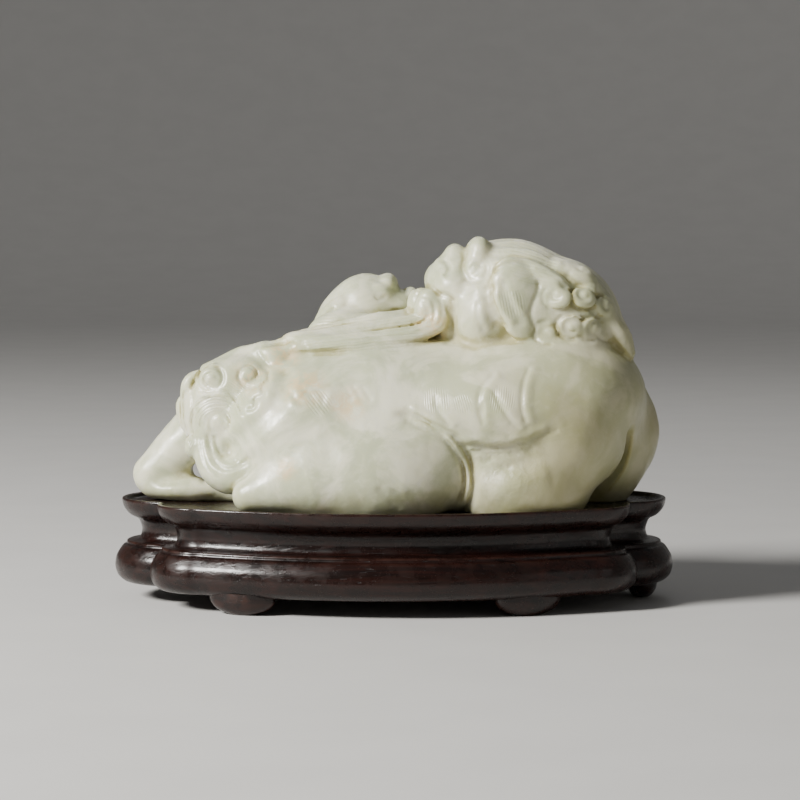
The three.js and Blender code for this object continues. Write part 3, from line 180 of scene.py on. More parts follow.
class Clay:
    """Block of distances to the carved surface, negative inside the stone."""

    def __init__(self, lo, hi, step):
        self.step = step
        self.lo = np.array(lo, float)
        n = [int(math.ceil((hi[i] - lo[i]) / step)) + 1 for i in range(3)]
        self.axes = [(self.lo[i] + step * np.arange(n[i])).astype(np.float32) for i in range(3)]
        self.d = np.full(n, OUTSIDE, np.float32)

    def window(self, lo, hi):
        """Part of the grid between two corners, with its coordinates."""
        cut = []
        for i in range(3):
            a = max(0, int(math.floor((lo[i] - self.lo[i]) / self.step)))
            b = min(len(self.axes[i]), int(math.ceil((hi[i] - self.lo[i]) / self.step)) + 1)
            cut.append(slice(a, max(a, b)))
        x = self.axes[0][cut[0]][:, None, None]
        y = self.axes[1][cut[1]][None, :, None]
        z = self.axes[2][cut[2]][None, None, :]
        return tuple(cut), x, y, z

    def merge(self, form, soft, sign):
        """Joins (sign 1) or cuts away (sign -1) a form, with the seam rounded over soft."""
        lo, hi, dist = form
        cut, x, y, z = self.window(lo - soft - MARGIN, hi + soft + MARGIN)
        old, new = sign * self.d[cut], dist(x, y, z)
        seam = np.maximum(soft - np.abs(old - new), 0) / soft
        self.d[cut] = sign * (np.minimum(old, new) - seam * seam * (soft / 4))

    def add(self, form, soft):
        """Joins a form to the stone."""
        self.merge(form, soft, 1)

    def cut(self, form, soft):
        """Cuts a form out of the stone."""
        self.merge(form, soft, -1)

    def engrave(self, points, width, depth):
        """Groove (depth > 0) or ridge (depth < 0) where a line in space passes the surface."""
        pts = spline(points)
        cut, x, y, z = self.window(pts.min(0) - width, pts.max(0) + width)
        self.d[cut] += depth * stroke(*nearest(pts, x, y, z), width, 0.12)

    def score(self, path, width, depth, side=-1, near=10.0):
        """Groove (depth > 0) or ridge (depth < 0) along a line drawn on the side view.

        The line is cut into the near flank (side -1) or the far one (side 1), and only
        where the stone is more than near millimetres from the middle plane."""
        pts = spline(path)
        reach = width + 0.5
        lo = [pts[:, 0].min() - reach, self.axes[1][0] if side < 0 else near,
              pts[:, 1].min() - reach]
        hi = [pts[:, 0].max() + reach, -near if side < 0 else self.axes[1][-1],
              pts[:, 1].max() + reach]
        cut, x, y, z = self.window(lo, hi)
        flat = np.column_stack([pts[:, 0], np.zeros(len(pts)), pts[:, 1]])
        shape = stroke(*nearest(flat, x[:, 0], np.float32(0), z[0]), width, 0.1)
        fade = smooth_step(np.abs(y), near, near + FLANK_FADE)
        self.d[cut] += (depth * shape[:, None, :] * fade).astype(np.float32)


def foot_point(a, ab, x, y, z):
    """Share along the segment that starts at a with way ab, and the offsets from it."""
    t = ((x - a[0]) * ab[0] + (y - a[1]) * ab[1] + (z - a[2]) * ab[2]) / (ab @ ab)
    t = np.clip(t, 0, 1).astype(np.float32)
    return t, x - a[0] - t * ab[0], y - a[1] - t * ab[1], z - a[2] - t * ab[2]


def nearest(pts, x, y, z):
    """Distance to a polyline and the share of its length there."""
    best = None
    seg = np.linalg.norm(np.diff(pts, axis=0), axis=1)
    run = np.concatenate([[0], np.cumsum(seg)])
    for i in range(len(pts) - 1):
        t, qx, qy, qz = foot_point(pts[i], pts[i + 1] - pts[i], x, y, z)
        q = qx ** 2 + qy ** 2 + qz ** 2
        u = (run[i] + t * seg[i]) / run[-1]
        if best is None:
            best, share = q, u
        else:
            closer = q < best
            best = np.where(closer, q, best)
            share = np.where(closer, u, share)
    return np.sqrt(best), share


def round_distance(k0, k1):
    """Near distance to an ellipsoid from its first and second normed lengths."""
    return k0 * (k0 - 1) / np.maximum(k1, 1e-6)


def blob(c, r, turn=(0, 0, 0)):
    """An ellipsoid with centre c, radii r and turns in degrees."""
    c, r = np.asarray(c, float), np.asarray(r, float)
    m = turned(turn)
    reach = np.sqrt((m ** 2) @ (r ** 2))
    inv = m.T

    def dist(x, y, z):
        dx, dy, dz = x - c[0], y - c[1], z - c[2]
        q = [inv[i, 0] * dx + inv[i, 1] * dy + inv[i, 2] * dz for i in range(3)]
        k0 = np.sqrt(sum((q[i] / r[i]) ** 2 for i in range(3)))
        k1 = np.sqrt(sum((q[i] / r[i] ** 2) ** 2 for i in range(3)))
        return round_distance(k0, k1).astype(np.float32)

    return c - reach, c + reach, dist


def tube(points, radii, per=4, flat=1.0, face=(0, -1, 0), strands=0, depth=0.0):
    """A round or flattened strand through the points.

    face is the normal of the flattened side, and strands grooves of that depth run along it."""
    p = spline(np.column_stack([np.asarray(points, float), radii]), per)
    pts, rad = p[:, :3], p[:, 3]
    lo, hi = pts.min(0) - rad.max(), pts.max(0) + rad.max()
    n = unit(face)

    def dist(x, y, z):
        out = None
        for i in range(len(pts) - 1):
            ab = pts[i + 1] - pts[i]
            t, qx, qy, qz = foot_point(pts[i], ab, x, y, z)
            r = rad[i] + t * (rad[i + 1] - rad[i])
            q2 = qx * qx + qy * qy + qz * qz
            if flat != 1.0:
                qn = qx * n[0] + qy * n[1] + qz * n[2]
                q2 = q2 + (flat * flat - 1) * qn * qn
            d = np.sqrt(q2) - r
            if flat > 1.0:
                d = d / (1 + (flat - 1) * 0.5)
            if strands:
                side = np.cross(unit(ab), n)
                side = side / (np.linalg.norm(side) + 1e-9)
                s = (qx * side[0] + qy * side[1] + qz * side[2]) / np.maximum(r, 0.2)
                d = d + depth * (0.5 - 0.5 * np.cos(s * math.pi * strands)) * np.minimum(r / 2.0, 1)
            out = d if out is None else np.minimum(out, d)
        return out.astype(np.float32)

    return lo, hi, dist


def curl(c, normal, radius, height, turns, start, depth, squash):
    """A rounded lock end wound into a spiral: a low dome with a spiral groove round a knob."""
    c = np.asarray(c, float)
    n = unit(normal)
    ref = np.array([0, 0, 1.0]) if abs(n[2]) < 0.9 else np.array([1.0, 0, 0])
    u = unit(np.cross(ref, n))
    v = np.cross(n, u)
    reach = radius + abs(height)
    a0 = math.radians(start)

    def dist(x, y, z):
        dx, dy, dz = x - c[0], y - c[1], z - c[2]
        pu = dx * u[0] + dy * u[1] + dz * u[2]
        pv = (dx * v[0] + dy * v[1] + dz * v[2]) / squash
        pn = dx * n[0] + dy * n[1] + dz * n[2]
        rho = np.sqrt(pu * pu + pv * pv)
        k0 = np.sqrt((rho / radius) ** 2 + (pn / height) ** 2)
        k1 = np.sqrt((rho / radius ** 2) ** 2 + (pn / height ** 2) ** 2)
        phase = np.arctan2(pv, pu) + a0 + 2 * math.pi * turns * rho / radius
        groove = (0.5 + 0.5 * np.cos(phase)) ** 2
        fade = smooth_step(rho, 0.10 * radius, 0.34 * radius)
        fade = fade * smooth_step(rho, 1.05 * radius, 0.8 * radius)
        return (round_distance(k0, k1) + depth * groove * fade).astype(np.float32)

    return c - reach, c + reach, dist


def surface_net(d, lo, step):
    """Quads of the zero surface, as (vertices, quads)."""
    inside = d < 0
    n = [s - 1 for s in d.shape]
    count = np.zeros(n, np.uint8)
    for i, j, k in CORNERS:
        count += inside[i:i + n[0], j:j + n[1], k:k + n[2]]
    active = (count > 0) & (count < 8)
    cells = np.argwhere(active)
    index = np.full(n, -1, np.int32)
    index[active] = np.arange(len(cells))
    val = np.stack([d[tuple((cells + corner).T)] for corner in CORNERS], 1)
    total = np.zeros((len(cells), 3))
    hits = np.zeros(len(cells))
    for a in range(8):
        for b in range(a + 1, 8):
            if bin(a ^ b).count("1") != 1:
                continue
            va, vb = val[:, a], val[:, b]
            cross = (va < 0) != (vb < 0)
            t = np.where(cross, va / np.where(cross, va - vb, 1), 0)
            pa, pb = np.array(CORNERS[a], float), np.array(CORNERS[b], float)
            total += np.where(cross[:, None], pa + t[:, None] * (pb - pa), 0)
            hits += cross
    verts = cells + total / hits[:, None]
    quads = []
    for ax in range(3):
        first, second = [slice(None)] * 3, [slice(None)] * 3
        first[ax], second[ax] = slice(0, -1), slice(1, None)
        start = inside[tuple(first)]
        e = np.argwhere(start != inside[tuple(second)])
        u, v = [i for i in range(3) if i != ax]
        e = e[(e[:, u] > 0) & (e[:, v] > 0) & (e[:, u] < n[u]) & (e[:, v] < n[v])]
        ring = []
        for du, dv in ((1, 1), (0, 1), (0, 0), (1, 0)):
            cell = e.copy()
            cell[:, u] -= du
            cell[:, v] -= dv
            ring.append(index[tuple(cell.T)])
        quad = np.stack(ring, 1)
        flip = start[tuple(e.T)] == (ax == 1)
        quad[flip] = quad[flip][:, ::-1]
        quads.append(quad)
    for _ in range(2):
        verts = project(d, verts)
    return verts * step + lo, np.vstack(quads)


def blended(d, base, f, shift=(0, 0, 0)):
    """Field values between the grid points base and base + 1, at the shares f of the way."""
    total = 0
    for corner in CORNERS:
        w = 1
        for axis in range(3):
            w = w * (f[:, axis] if corner[axis] else 1 - f[:, axis])
        total = total + w * d[tuple((base + np.add(corner, shift)).T)]
    return total


def project(d, v):
    """Moves grid-space points towards the zero surface along the field's slope."""
    base = np.clip(np.floor(v).astype(int), 1, np.array(d.shape) - 3)
    f = np.clip(v - base, 0, 1)
    value = blended(d, base, f)
    g = np.stack([blended(d, base, f, way) - blended(d, base, f, -way)
                  for way in np.eye(3, dtype=int)], 1) / 2
    g2 = np.maximum((g ** 2).sum(1), 0.05)
    move = -(value / g2)[:, None] * g
    length = np.linalg.norm(move, axis=1, keepdims=True)
    return v + move * np.minimum(1, 0.5 / np.maximum(length, 1e-9))


def whorl(cx, cz, r0, r1, turns, start, spin=1, stretch=1.0, steps=9):
    """Points of a spiral from radius r0 in to r1."""
    n = max(3, int(abs(turns) * steps))
    out = []
    for i in range(n + 1):
        t = i / n
        a = math.radians(start) + spin * 2 * math.pi * turns * t
        r = r0 + (r1 - r0) * t
        out.append([cx + r * math.cos(a), cz + r * stretch * math.sin(a)])
    return out


def fill_saddles(d, step):
    """Fills grid squares whose corners alternate, so that every edge has two faces."""
    for _ in range(12):
        filled = 0
        for s, t in ((0, 1), (1, 2), (2, 0)):
            ring = []
            for ds, dt in ((0, 0), (1, 0), (1, 1), (0, 1)):
                cut = [slice(None)] * 3
                cut[s] = slice(ds, d.shape[s] - 1 + ds)
                cut[t] = slice(dt, d.shape[t] - 1 + dt)
                ring.append(tuple(cut))
            a, b, c, e = (d[r] < 0 for r in ring)
            bad = (a == c) & (b == e) & (a != b)
            if not bad.any():
                continue
            at = np.argwhere(bad)
            inside = a[bad]
            for first, second, chosen in ((1, 3, inside), (0, 2, ~inside)):
                p = at[chosen]
                off = np.array([[r.start or 0 for r in ring[n]] for n in (first, second)])
                u, v = p + off[0], p + off[1]
                nearer = d[tuple(u.T)] < d[tuple(v.T)]
                pick = np.where(nearer[:, None], u, v)
                d[tuple(pick.T)] = -0.02 * step
            filled += len(at)
        if not filled:
            break


def main_body(points, quads):
    """Drops loose crumbs: only the largest connected body stays."""
    label = np.arange(len(points))
    while True:
        low = label[quads].min(1)
        new = label.copy()
        np.minimum.at(new, quads.ravel(), np.repeat(low, 4))
        new = new[new]
        if (new == label).all():
            break
        label = new
    names, size = np.unique(label, return_counts=True)
    kept = label == names[size.argmax()]
    number = np.cumsum(kept) - 1
    return points[kept], number[quads[kept[quads[:, 0]]]]


def sampled(d, v):
    """Field values at points given in grid steps."""
    base = np.clip(np.floor(v).astype(int), 0, np.array(d.shape) - 2)
    return blended(d, base, np.clip(v - base, 0, 1))


def carve(c):
    """All forms of the carving, in millimetres from the middle of its underside."""
    add, cut = c.add, c.cut

    # trunk
    add(blob([2, 0, 25], [48, 38, 25.6]), 1)
    add(blob([46, -2, 26], [31, 34, 25]), 10)
    add(blob([-33, 0, 25], [27, 31, 23]), 10)
    add(blob([56, 11, 22], [28.6, 25, 25]), 6)
    add(blob([34, -12, 31], [36, 29.5, 19.5]), 8)
    add(blob([55, -9, 34], [20.5, 25, 13]), 6)
    add(blob([46, -9, 37.5], [29, 24.5, 17]), 6)
    add(blob([-4, -13, 38.4], [33, 18.4, 12.2]), 5)
    add(blob([46, 9, 36.5], [27, 23, 16.5]), 6)
    add(blob([60, 0, 36], [17.5, 23, 15]), 6)

    # near foreleg folded under the chest
    add(blob([38, -21, 9], [23, 18.2, 18]), 5)
    add(blob([52, -17, 23], [17, 21, 17], [0, -12, 0]), 5)
    # far foreleg
    add(blob([44, 23, 11], [27, 14, 17], [0, 0, -6]), 5)
    add(blob([62, 8, 8], [15, 12, 13], [0, 0, 0]), 4)
    # gap between the forelegs
    cut(tube([[76, -24, 26], [71, -16, 20], [67, -10, 11], [60, -6, 1]], [0.8, 3, 4.6, 5.6]), 2)

    # near haunch, knee forward, hock back
    add(blob([-8, -26, 12.6], [31, 17.6, 18.6]), 5)
    add(blob([-30, -16, 24], [24, 20, 20]), 8)
    add(tube([[-45.5, -31, 5.6], [-38, -31, 7.4], [-28, -30, 10]], [5.4, 7, 10], per=8), 6)
    # far haunch
    add(blob([-8, 26, 14], [31, 17, 19]), 6)
    add(blob([-30, 18, 25], [24, 18, 20]), 8)
    # far hind leg stretched back, broad down to the foot
    add(tube([[-58, 13, 24.6], [-63.6, 12.5, 21], [-69.6, 12, 15.6], [-74.4, 11.5, 11.2],
              [-78, 11, 8]], [10.4, 10, 9, 8, 7.4], per=8), 3)
    add(blob([-66, 8, 3.6], [15, 8.6, 4.4]), 3)
    add(tube([[-60, 6, 3.4], [-44, 2, 3]], [3.8, 3.6]), 2)
    cut(tube([[-64.2, -24, 10.2], [-64.2, 26, 9.2]], [2.3, 2.3]), 1)
    cut(tube([[-61.6, -24, 8.6], [-61.6, 26, 7.6]], [2, 2]), 1)

    # neck and head
    add(blob([50, 1, 54], [21, 21, 19], [0, 20, 0]), 6)
    add(blob([34, 0, 68], [17, 19, 14.2], [0, 10, 0]), 5)
    add(blob([26, -5, 60], [9.5, 17, 13]), 4)
    add(blob([48, 1, 65], [17, 21.5, 14], [0, 32, 0]), 4)
    add(blob([57.5, 1, 56], [13, 20.5, 14.5], [0, 35, 0]), 4)
    add(blob([15, 3, 57], [8, 10, 10]), 3)
    add(blob([16.5, -4.6, 57.6], [5.4, 9.4, 8.6]), 2)
    add(blob([14.5, -10.5, 43.6], [16, 11.6, 9]), 3)
    for s in (-1, 1):
        add(blob([43, 10.5 * s, 63], [17, 11.4, 13], [0, 20, 0]), 3)
        add(blob([30, 8.6 * s, 61.4], [11.4, 11.6, 12.4]), 3)

    mane(c)
    face(c)
    tail(c)
    cub(c)
    ribbon(c)
    relief(c)


def face(c):
    """Muzzle, brows, cheeks and ears of the lion."""
    add, cut, score = c.add, c.cut, c.score
    # muzzle
    add(blob([18, -1, 69], [8.6, 14, 9], [0, -20, 0]), 4)
    add(blob([19.4, -1, 75], [6.6, 9.5, 6.6]), 3)
    add(blob([13, -1, 71.2], [4, 9, 5], [0, -14, 0]), 2)
    # nose and nostrils
    for s in (-1, 1):
        add(blob([18.4, 4 * s, 78.4], [3.7, 4.2, 4.1]), 1.2)
        add(blob([14.6, 5.2 * s, 75.6], [2.9, 3.6, 2.9]), 1.2)
        score([[13, 78], [15.6, 76.8], [16.4, 74.2], [14.6, 72.6]], 1.3, 0.7, s, 6)
    # brows and eyes
    for s in (-1, 1):
        add(blob([25.8, 7.4 * s, 79.6], [3.9, 5.4, 5.4], [0, 8, 0]), 2.2)
        add(blob([24.4, 11 * s, 75.2], [3.2, 3, 3.6]), 1.6)
        score([[21.9, 82.6], [21.4, 78.6], [20.6, 74.8], [22, 71.6], [25.4, 71.2], [28, 73.6],
               [28.4, 77.4]], 1.6, 0.5, s, 7)
        score([[22.4, 74.4], [24.2, 76.6], [26.6, 76]], 1, 0.3, s, 9)
    add(blob([31, 0, 79], [6, 9, 4.2]), 3)
    # cheek folds and the line of the mouth
    score([[20, 72], [22.6, 66], [21.6, 58]], 3.6, 0.45, -1, 12)
    score([[27.4, 67], [28.6, 61], [31, 56.6]], 2.2, 0.4, -1, 12)
    for s in (-1, 1):
        score([[8, 68.2], [12, 67.4], [16, 66.6], [18.6, 64.4]], 1.5, 1, s, 5)
    # hollow under the jaw
    cut(blob([16.8, -16.4, 58], [2.2, 4.4, 6.4], [0, 8, 0]), 2)
    # ears: broad hanging leaves with wavy locks along the front
    for s in (-1, 1):
        add(tube([[36.4, 18.6 * s, 72.4], [36.9, 20 * s, 68.4], [37.4, 20.6 * s, 63],
                  [38.8, 20.8 * s, 58.2], [40, 20.6 * s, 55.4]], [6.8, 7.6, 6.2, 5.2, 3],
                 per=8, flat=2.7, face=[0.1, s, 0.1]), 0.9)
        add(tube([[31.6, 18.2 * s, 71], [31.2, 19.4 * s, 66.6], [33.4, 20.2 * s, 61.6],
                  [36.2, 20 * s, 57.4]], [2.4, 3.2, 3, 2], per=8, flat=1.8, face=[-0.1, s, 0.1]),
            0.6)
        score([[33, 72.6], [33.4, 68], [35.4, 64.2], [37.6, 60.8], [38.6, 56.8]], 2.2, 0.6, s, 14)
        score([[30.2, 71.4], [30, 66], [32.2, 60.6], [35.4, 56.2]], 1.2, 0.4, s, 14)
        score([[30.6, 69], [31.2, 65], [33.8, 60.6], [36.4, 57.6]], 1.6, -0.5, s, 14)
        score([[35.6, 68.4], [37.2, 64.4], [39.4, 60.6]], 1.8, -0.5, s, 15)
        score([[43.9, 72.6], [43.9, 68.6], [42.2, 64.6], [41.4, 61], [42.6, 57], [41.4, 53.8]],
              1.3, 0.5, s, 14)
        score([[29.8, 73.6], [33.2, 76.4], [38, 77], [42.8, 75.2]], 1.4, 0.5, s, 12)
        score([[25.4, 66], [25, 60], [27.4, 55.4]], 1.6, 0.4, s, 12)


# bulk under the mane: middle on the side view, reach along it, half its width, and the
# divisors that give the way its surface faces
MANE_X, MANE_Z, MANE_REACH, MANE_HALF = 54, 61, 15.5, 21
MANE_FACING = (240, 441)


def mane(c):
    """Wound locks on the neck and long locks over the crown."""
    add, score = c.add, c.score
    add(blob([MANE_X, 0, MANE_Z], [MANE_REACH, MANE_HALF, MANE_REACH]), 3)
    # locks in rows, low oval scales each wound into a flat curl; centre x and z, radius, lift
    rows = [
        [66.4, 55.8, 4, 0.8], [60.8, 56.6, 4.5, 0.6], [54.4, 57.2, 4.8, 0.3], [46.8, 55.4, 4.3,
                                    2.5],
        [64.6, 63.4, 4.2, 0.8], [58.4, 66.4, 4.6, 0.7], [50.4, 66.6, 5, 1.8],
        [57.8, 73.4, 4.4, 2.6], [49.6, 74.6, 4.6, 5.2],
    ]
    for s in (-1, 1):
        for x, z, r, up in rows:
            dx, dz = x - MANE_X, z - MANE_Z
            lift = 1 - (dx / MANE_REACH) ** 2 - (dz / MANE_REACH) ** 2
            y = s * (MANE_HALF * math.sqrt(max(lift, 0.06)) + up)
            facing = [dx / MANE_FACING[0], y / MANE_FACING[1], dz / MANE_FACING[0]]
            add(curl([x, y, z], facing, r, 1.8, turns=1, start=30, depth=1, squash=0.84), 0.5)
            score(whorl(x, z, 1.06 * r, 1.06 * r, 0.6, 80, 1, 0.82), 1, 0.45, s, 6)
    # locks over the crown, running back from the brows
    for i in range(7):
        y = -16.5 + 5.5 * i
        drop = 0.020 * y * y
        path = [[x, y * spread, z - drop] for x, spread, z in (
            (29, 0.8, 80.4), (36, 0.95, 81.4), (43, 1.05, 79.8), (49.5, 1.15, 76))]
        add(tube(path, [1.6, 2.8, 3.2, 3], strands=2.5, depth=0.3, face=[0.3, y * 0.04, 1]), 2.2)
    # rows of lobes and strands down the back of the neck
    for i in range(6):
        y = -13.75 + 5.5 * i
        out = 2 * (1 - (y / 20) ** 2) - 1.1
        for path, radii, tilt in (
                ([[51, y, 75.4], [56.5, y, 72.6], [60.5, y, 69]], [2.4, 3.4, 3.2], 1),
                ([[59, y + 2.5, 69.6], [64, y + 2.5, 64.8], [66.6, y + 2.2, 60]],
                 [2.4, 3.4, 3.2], 0.6),
                ([[64.5, y, 61], [69.8, y * 0.9, 54.6], [73.4, y * 0.8, 48.2]],
                 [2.4, 3.2, 1.6], 0.4)):
            path = [[px + out, py, pz] for px, py, pz in path]
            add(tube(path, radii, strands=2, depth=0.35, face=[1, 0, tilt]), 2)


def tail(c):
    """Clump of curls at the rump, and the root that winds into it."""
    add, score = c.add, c.score
    # bulk of the clump
    add(blob([-56.2, -13, 29], [11.4, 10.4, 12.4]), 3)
    add(blob([-50.5, -12, 38], [13, 10.2, 9.2], [0, -34, 0]), 3)
    add(blob([-52.6, -12.4, 36.6], [13, 10.4, 10.6], [0, -20, 0]), 2)
    # thick root from under the haunch, turning up into the big spiral
    add(tube([[-36, -22, 21.4], [-41.6, -23.4, 16.8], [-47, -24, 12.6], [-52, -23.6, 11.2],
              [-56.4, -22, 13.2], [-59, -19.6, 17.6], [-59.6, -18, 22.6]],
             [3.6, 5.4, 6.2, 6, 5.2, 4.6, 4.2], per=8), 1.6)
    add(blob([-53.4, -18, 19.4], [6.4, 5.4, 6.6]), 2)
    add(blob([-55, -15.4, 27.4], [8.6, 8.2, 8.2]), 1.2)
    # lower step beside the rump
    add(tube([[-42, -15, 46], [-38.2, -16.5, 42.6], [-37.6, -17, 38.2], [-41, -17.5, 33],
              [-46.6, -18, 27.6], [-51.6, -19.5, 21.6]], [2.2, 3.4, 3.4, 3.2, 2.8, 1.6], per=6),
        1.4)
    # low round bosses of the upper curls
    add(blob([-57.7, -17.4, 41.4], [4.6, 4.6, 4.3]), 0.8)
    add(blob([-46, -16.8, 42], [4.8, 5.2, 4.4]), 1.4)
    add(blob([-47.6, -17.2, 37.2], [6.2, 5.4, 5], [0, 30, 0]), 1.4)
    # wound end of the big curl
    add(blob([-54.6, -21.6, 27.4], [2.9, 2.5, 2.6]), 0.8)
    # upright locks at the left edge
    add(tube([[-61.8, -14, 42], [-64.8, -14, 40], [-65.8, -14, 36], [-65.8, -13.6, 29.1],
              [-64.8, -14, 23]], [1.6, 2.2, 2.3, 2, 1.1]), 0.7)
    add(tube([[-66, -10.6, 35.2], [-67.8, -10, 32.2], [-67.4, -10, 27], [-65.6, -11, 22.6]],
             [1.4, 2, 1.7, 1]), 0.7)
    add(blob([-63.4, -18.4, 19.6], [3.2, 3.6, 3.9], [0, -10, 0]), 0.5)
    # top of the clump, and the leaf-shaped tuft that lies on the back
    add(tube([[-60, -8, 42.6], [-55, -9, 44.4], [-49, -10, 47], [-42, -12, 48.4]],
             [2.4, 3, 3.4, 3.6]), 1.6)
    add(tube([[-43.5, -14.6, 47.2], [-38.8, -16.6, 46.8], [-36.4, -18.8, 43.4]], [2.4, 3.6, 2],
             per=8, flat=2.4), 0.8)
    add(tube([[-41, -12, 48.8], [-32, -15, 48.6], [-21, -17, 48.6]], [3.2, 2.8, 0.8],
             flat=1.4, strands=2, depth=0.3, face=[0, -0.6, 0.8]), 2.6)
    # rings of the upper curls
    score(whorl(-57.6, 41, 4.7, 1.3, 1.6, 200, -1, 0.92), 1, 0.7)
    score(whorl(-45.8, 42.2, 4.4, 1.3, 1.4, 330, -1, 0.92), 1, 0.6)
    # hatched leaf between the curls, with a scalloped edge along the rump
    for i in range(5):
        score([[-52.8 + 1.6 * i, 37.6 - 0.1 * i], [-51 + 1.6 * i, 35.6],
               [-49.8 + 1.6 * i, 32.6 + 0.5 * i]], 0.8, 0.25)
    score([[-40.8, 44.4], [-39.8, 41.2], [-41.8, 39.2], [-41.2, 36.6], [-43.8, 35.4], [-44, 32.8],
           [-47.2, 31.8]], 1, 0.7)
    # bright rim between the upper lobes and the big curl
    rim = [[-62.4, 36.4], [-58.4, 35.8], [-54.4, 36.2], [-51.4, 34.8], [-49.2, 32], [-47.6, 28.6]]
    score(rim, 1.2, -0.45)
    score([[x, z + 1.3] for x, z in rim], 0.9, 0.5)
    # strands that sweep over the big curl from the lower left
    for i in range(4):
        score(whorl(-54.8, 27.2, 9.8 - 1.5 * i, 7.8 - 1.5 * i, 0.56, 214 - 6 * i, -1), 0.95, 0.5)
    score(whorl(-54.7, 27.4, 3.9, 2.6, 0.9, 250, -1, 0.95), 1, 0.6)
    # valley between the clump and the rump
    score([[-33.8, 45.6], [-34.4, 42], [-35.6, 37], [-39.6, 31.2], [-46.4, 25], [-51.4, 19.6],
           [-53.6, 16.6]], 4.6, 1.2)
    # strands down the root and the lip of its hook
    score([[-59.2, 25], [-58.4, 20.6], [-57, 16.4], [-53.6, 13.6], [-49.4, 14.4], [-44.6, 17.6]],
          1.3, 0.6)
    score([[-56.8, 24], [-56.2, 20.6], [-54.6, 17.2], [-51.8, 15.4], [-48.6, 16.4]], 1.1, 0.5)
    score([[-61.2, 23.6], [-60.6, 18.6], [-58.6, 13.6], [-54.4, 10.2]], 1, 0.35)
    # locks at the edge, and strokes on the small lobe
    score([[-63.4, 41.2], [-63.8, 37], [-63.6, 31], [-63.6, 25.4]], 1, 0.6)
    score([[-66.5, 37.6], [-66.9, 33], [-66.6, 27.6], [-65.6, 23.4]], 0.9, 0.6)
    for i in range(3):
        score([[-65.4 + 0.5 * i, 22.6 - 1.5 * i], [-62.6 + 0.5 * i, 20.8 - 1.5 * i]], 0.9, 0.35)
    score([[-43.8, 49.6], [-41.6, 46.8], [-39.4, 44.6]], 0.9, 0.35)
    # fold of the ankle on the far leg
    score([[-74, 17.2], [-72.4, 19.8], [-69.2, 20.6], [-65.4, 19.6]], 1.8, 0.35, -1, 1)


def cub(c):
    """The cub that climbs up the far side."""
    add, engrave, score = c.add, c.engrave, c.score
    # body climbing up the far side
    add(blob([-24, 31, 30], [15, 14, 18], [-14, 0, 0]), 5)
    add(blob([-19, 23, 47], [12.5, 12, 13], [24, 0, 0]), 5)
    add(blob([-10, 12, 59.8], [12, 12, 13], [0, -6, 0]), 3)
    add(blob([-17, 13, 57], [9, 12, 10]), 3)
    # brow, muzzle and nose
    add(blob([-3.2, 12, 69.2], [3.4, 7, 3.7], [0, 20, 0]), 1.4)
    add(blob([-0.5, 12, 61.5], [7.2, 8, 6.4], [0, 12, 0]), 2.5)
    add(blob([4.4, 12, 65.4], [2.9, 4.2, 3.2]), 1.2)
    engrave([[-4, 4.5, 60.4], [0, 4, 60.8], [4.5, 5, 60.6]], 1.4, 1)
    # shoulder of the cub against the ribbon
    add(blob([-19, -0.6, 56.2], [10, 7, 5.2], [0, -16, 0]), 2.4)
    for s in (-1, 1):
        add(blob([-5, 12 + 7 * s, 67.6], [2.9, 1.8, 1.5], [0, 34, 0]), 1.8)
        engrave([[-8, 12 + 9.4 * s, 65.6], [-5.6, 12 + 9.8 * s, 64.8], [-3.2, 12 + 9 * s, 66]],
                1, 0.6)
        # ear laid back
        add(tube([[-18.6, 12 + 9 * s, 64], [-22, 12 + 10 * s, 60], [-26, 12 + 10 * s, 54.6]],
                 [2, 3.5, 2.2], flat=2.6, face=[-0.5, s, 0.6]), 1)
        engrave([[-19.6, 12 + 10 * s, 62.4], [-22.2, 12 + 12 * s, 60], [-25.4, 12 + 12 * s, 57]],
                1.4, 0.8)
    # forepaws and hind leg on the far flank
    add(tube([[-10, 24, 50], [-2, 25, 50.5], [5, 23, 50]], [5.6, 4.4, 4.6], per=8), 1.5)
    add(tube([[-12, 35, 38], [-4, 38.5, 35], [2, 39, 31]], [5.4, 4.6, 4.8], per=8), 1.5)
    add(blob([-31, 37, 24], [10, 8.5, 12], [0, 24, 0]), 2)
    add(tube([[-35, 39, 14], [-29, 41, 8.5], [-22, 41.5, 7]], [5.6, 4.6, 4.6], per=8), 2)
    for s in (-1, 1):
        score([[-24 + 3 * s, 26], [-22 + 3 * s, 34], [-19 + 3 * s, 42]], 2.4, 0.5, 1, 30)
    # its tail curled up the flank
    add(tube([[-38, 36, 26], [-43, 34, 34], [-40, 30, 42], [-35, 29, 43]], [3.2, 3.6, 3.8, 2.6],
             per=8, strands=1.5, depth=0.4, face=[0, 1, 0.4]), 1.2)


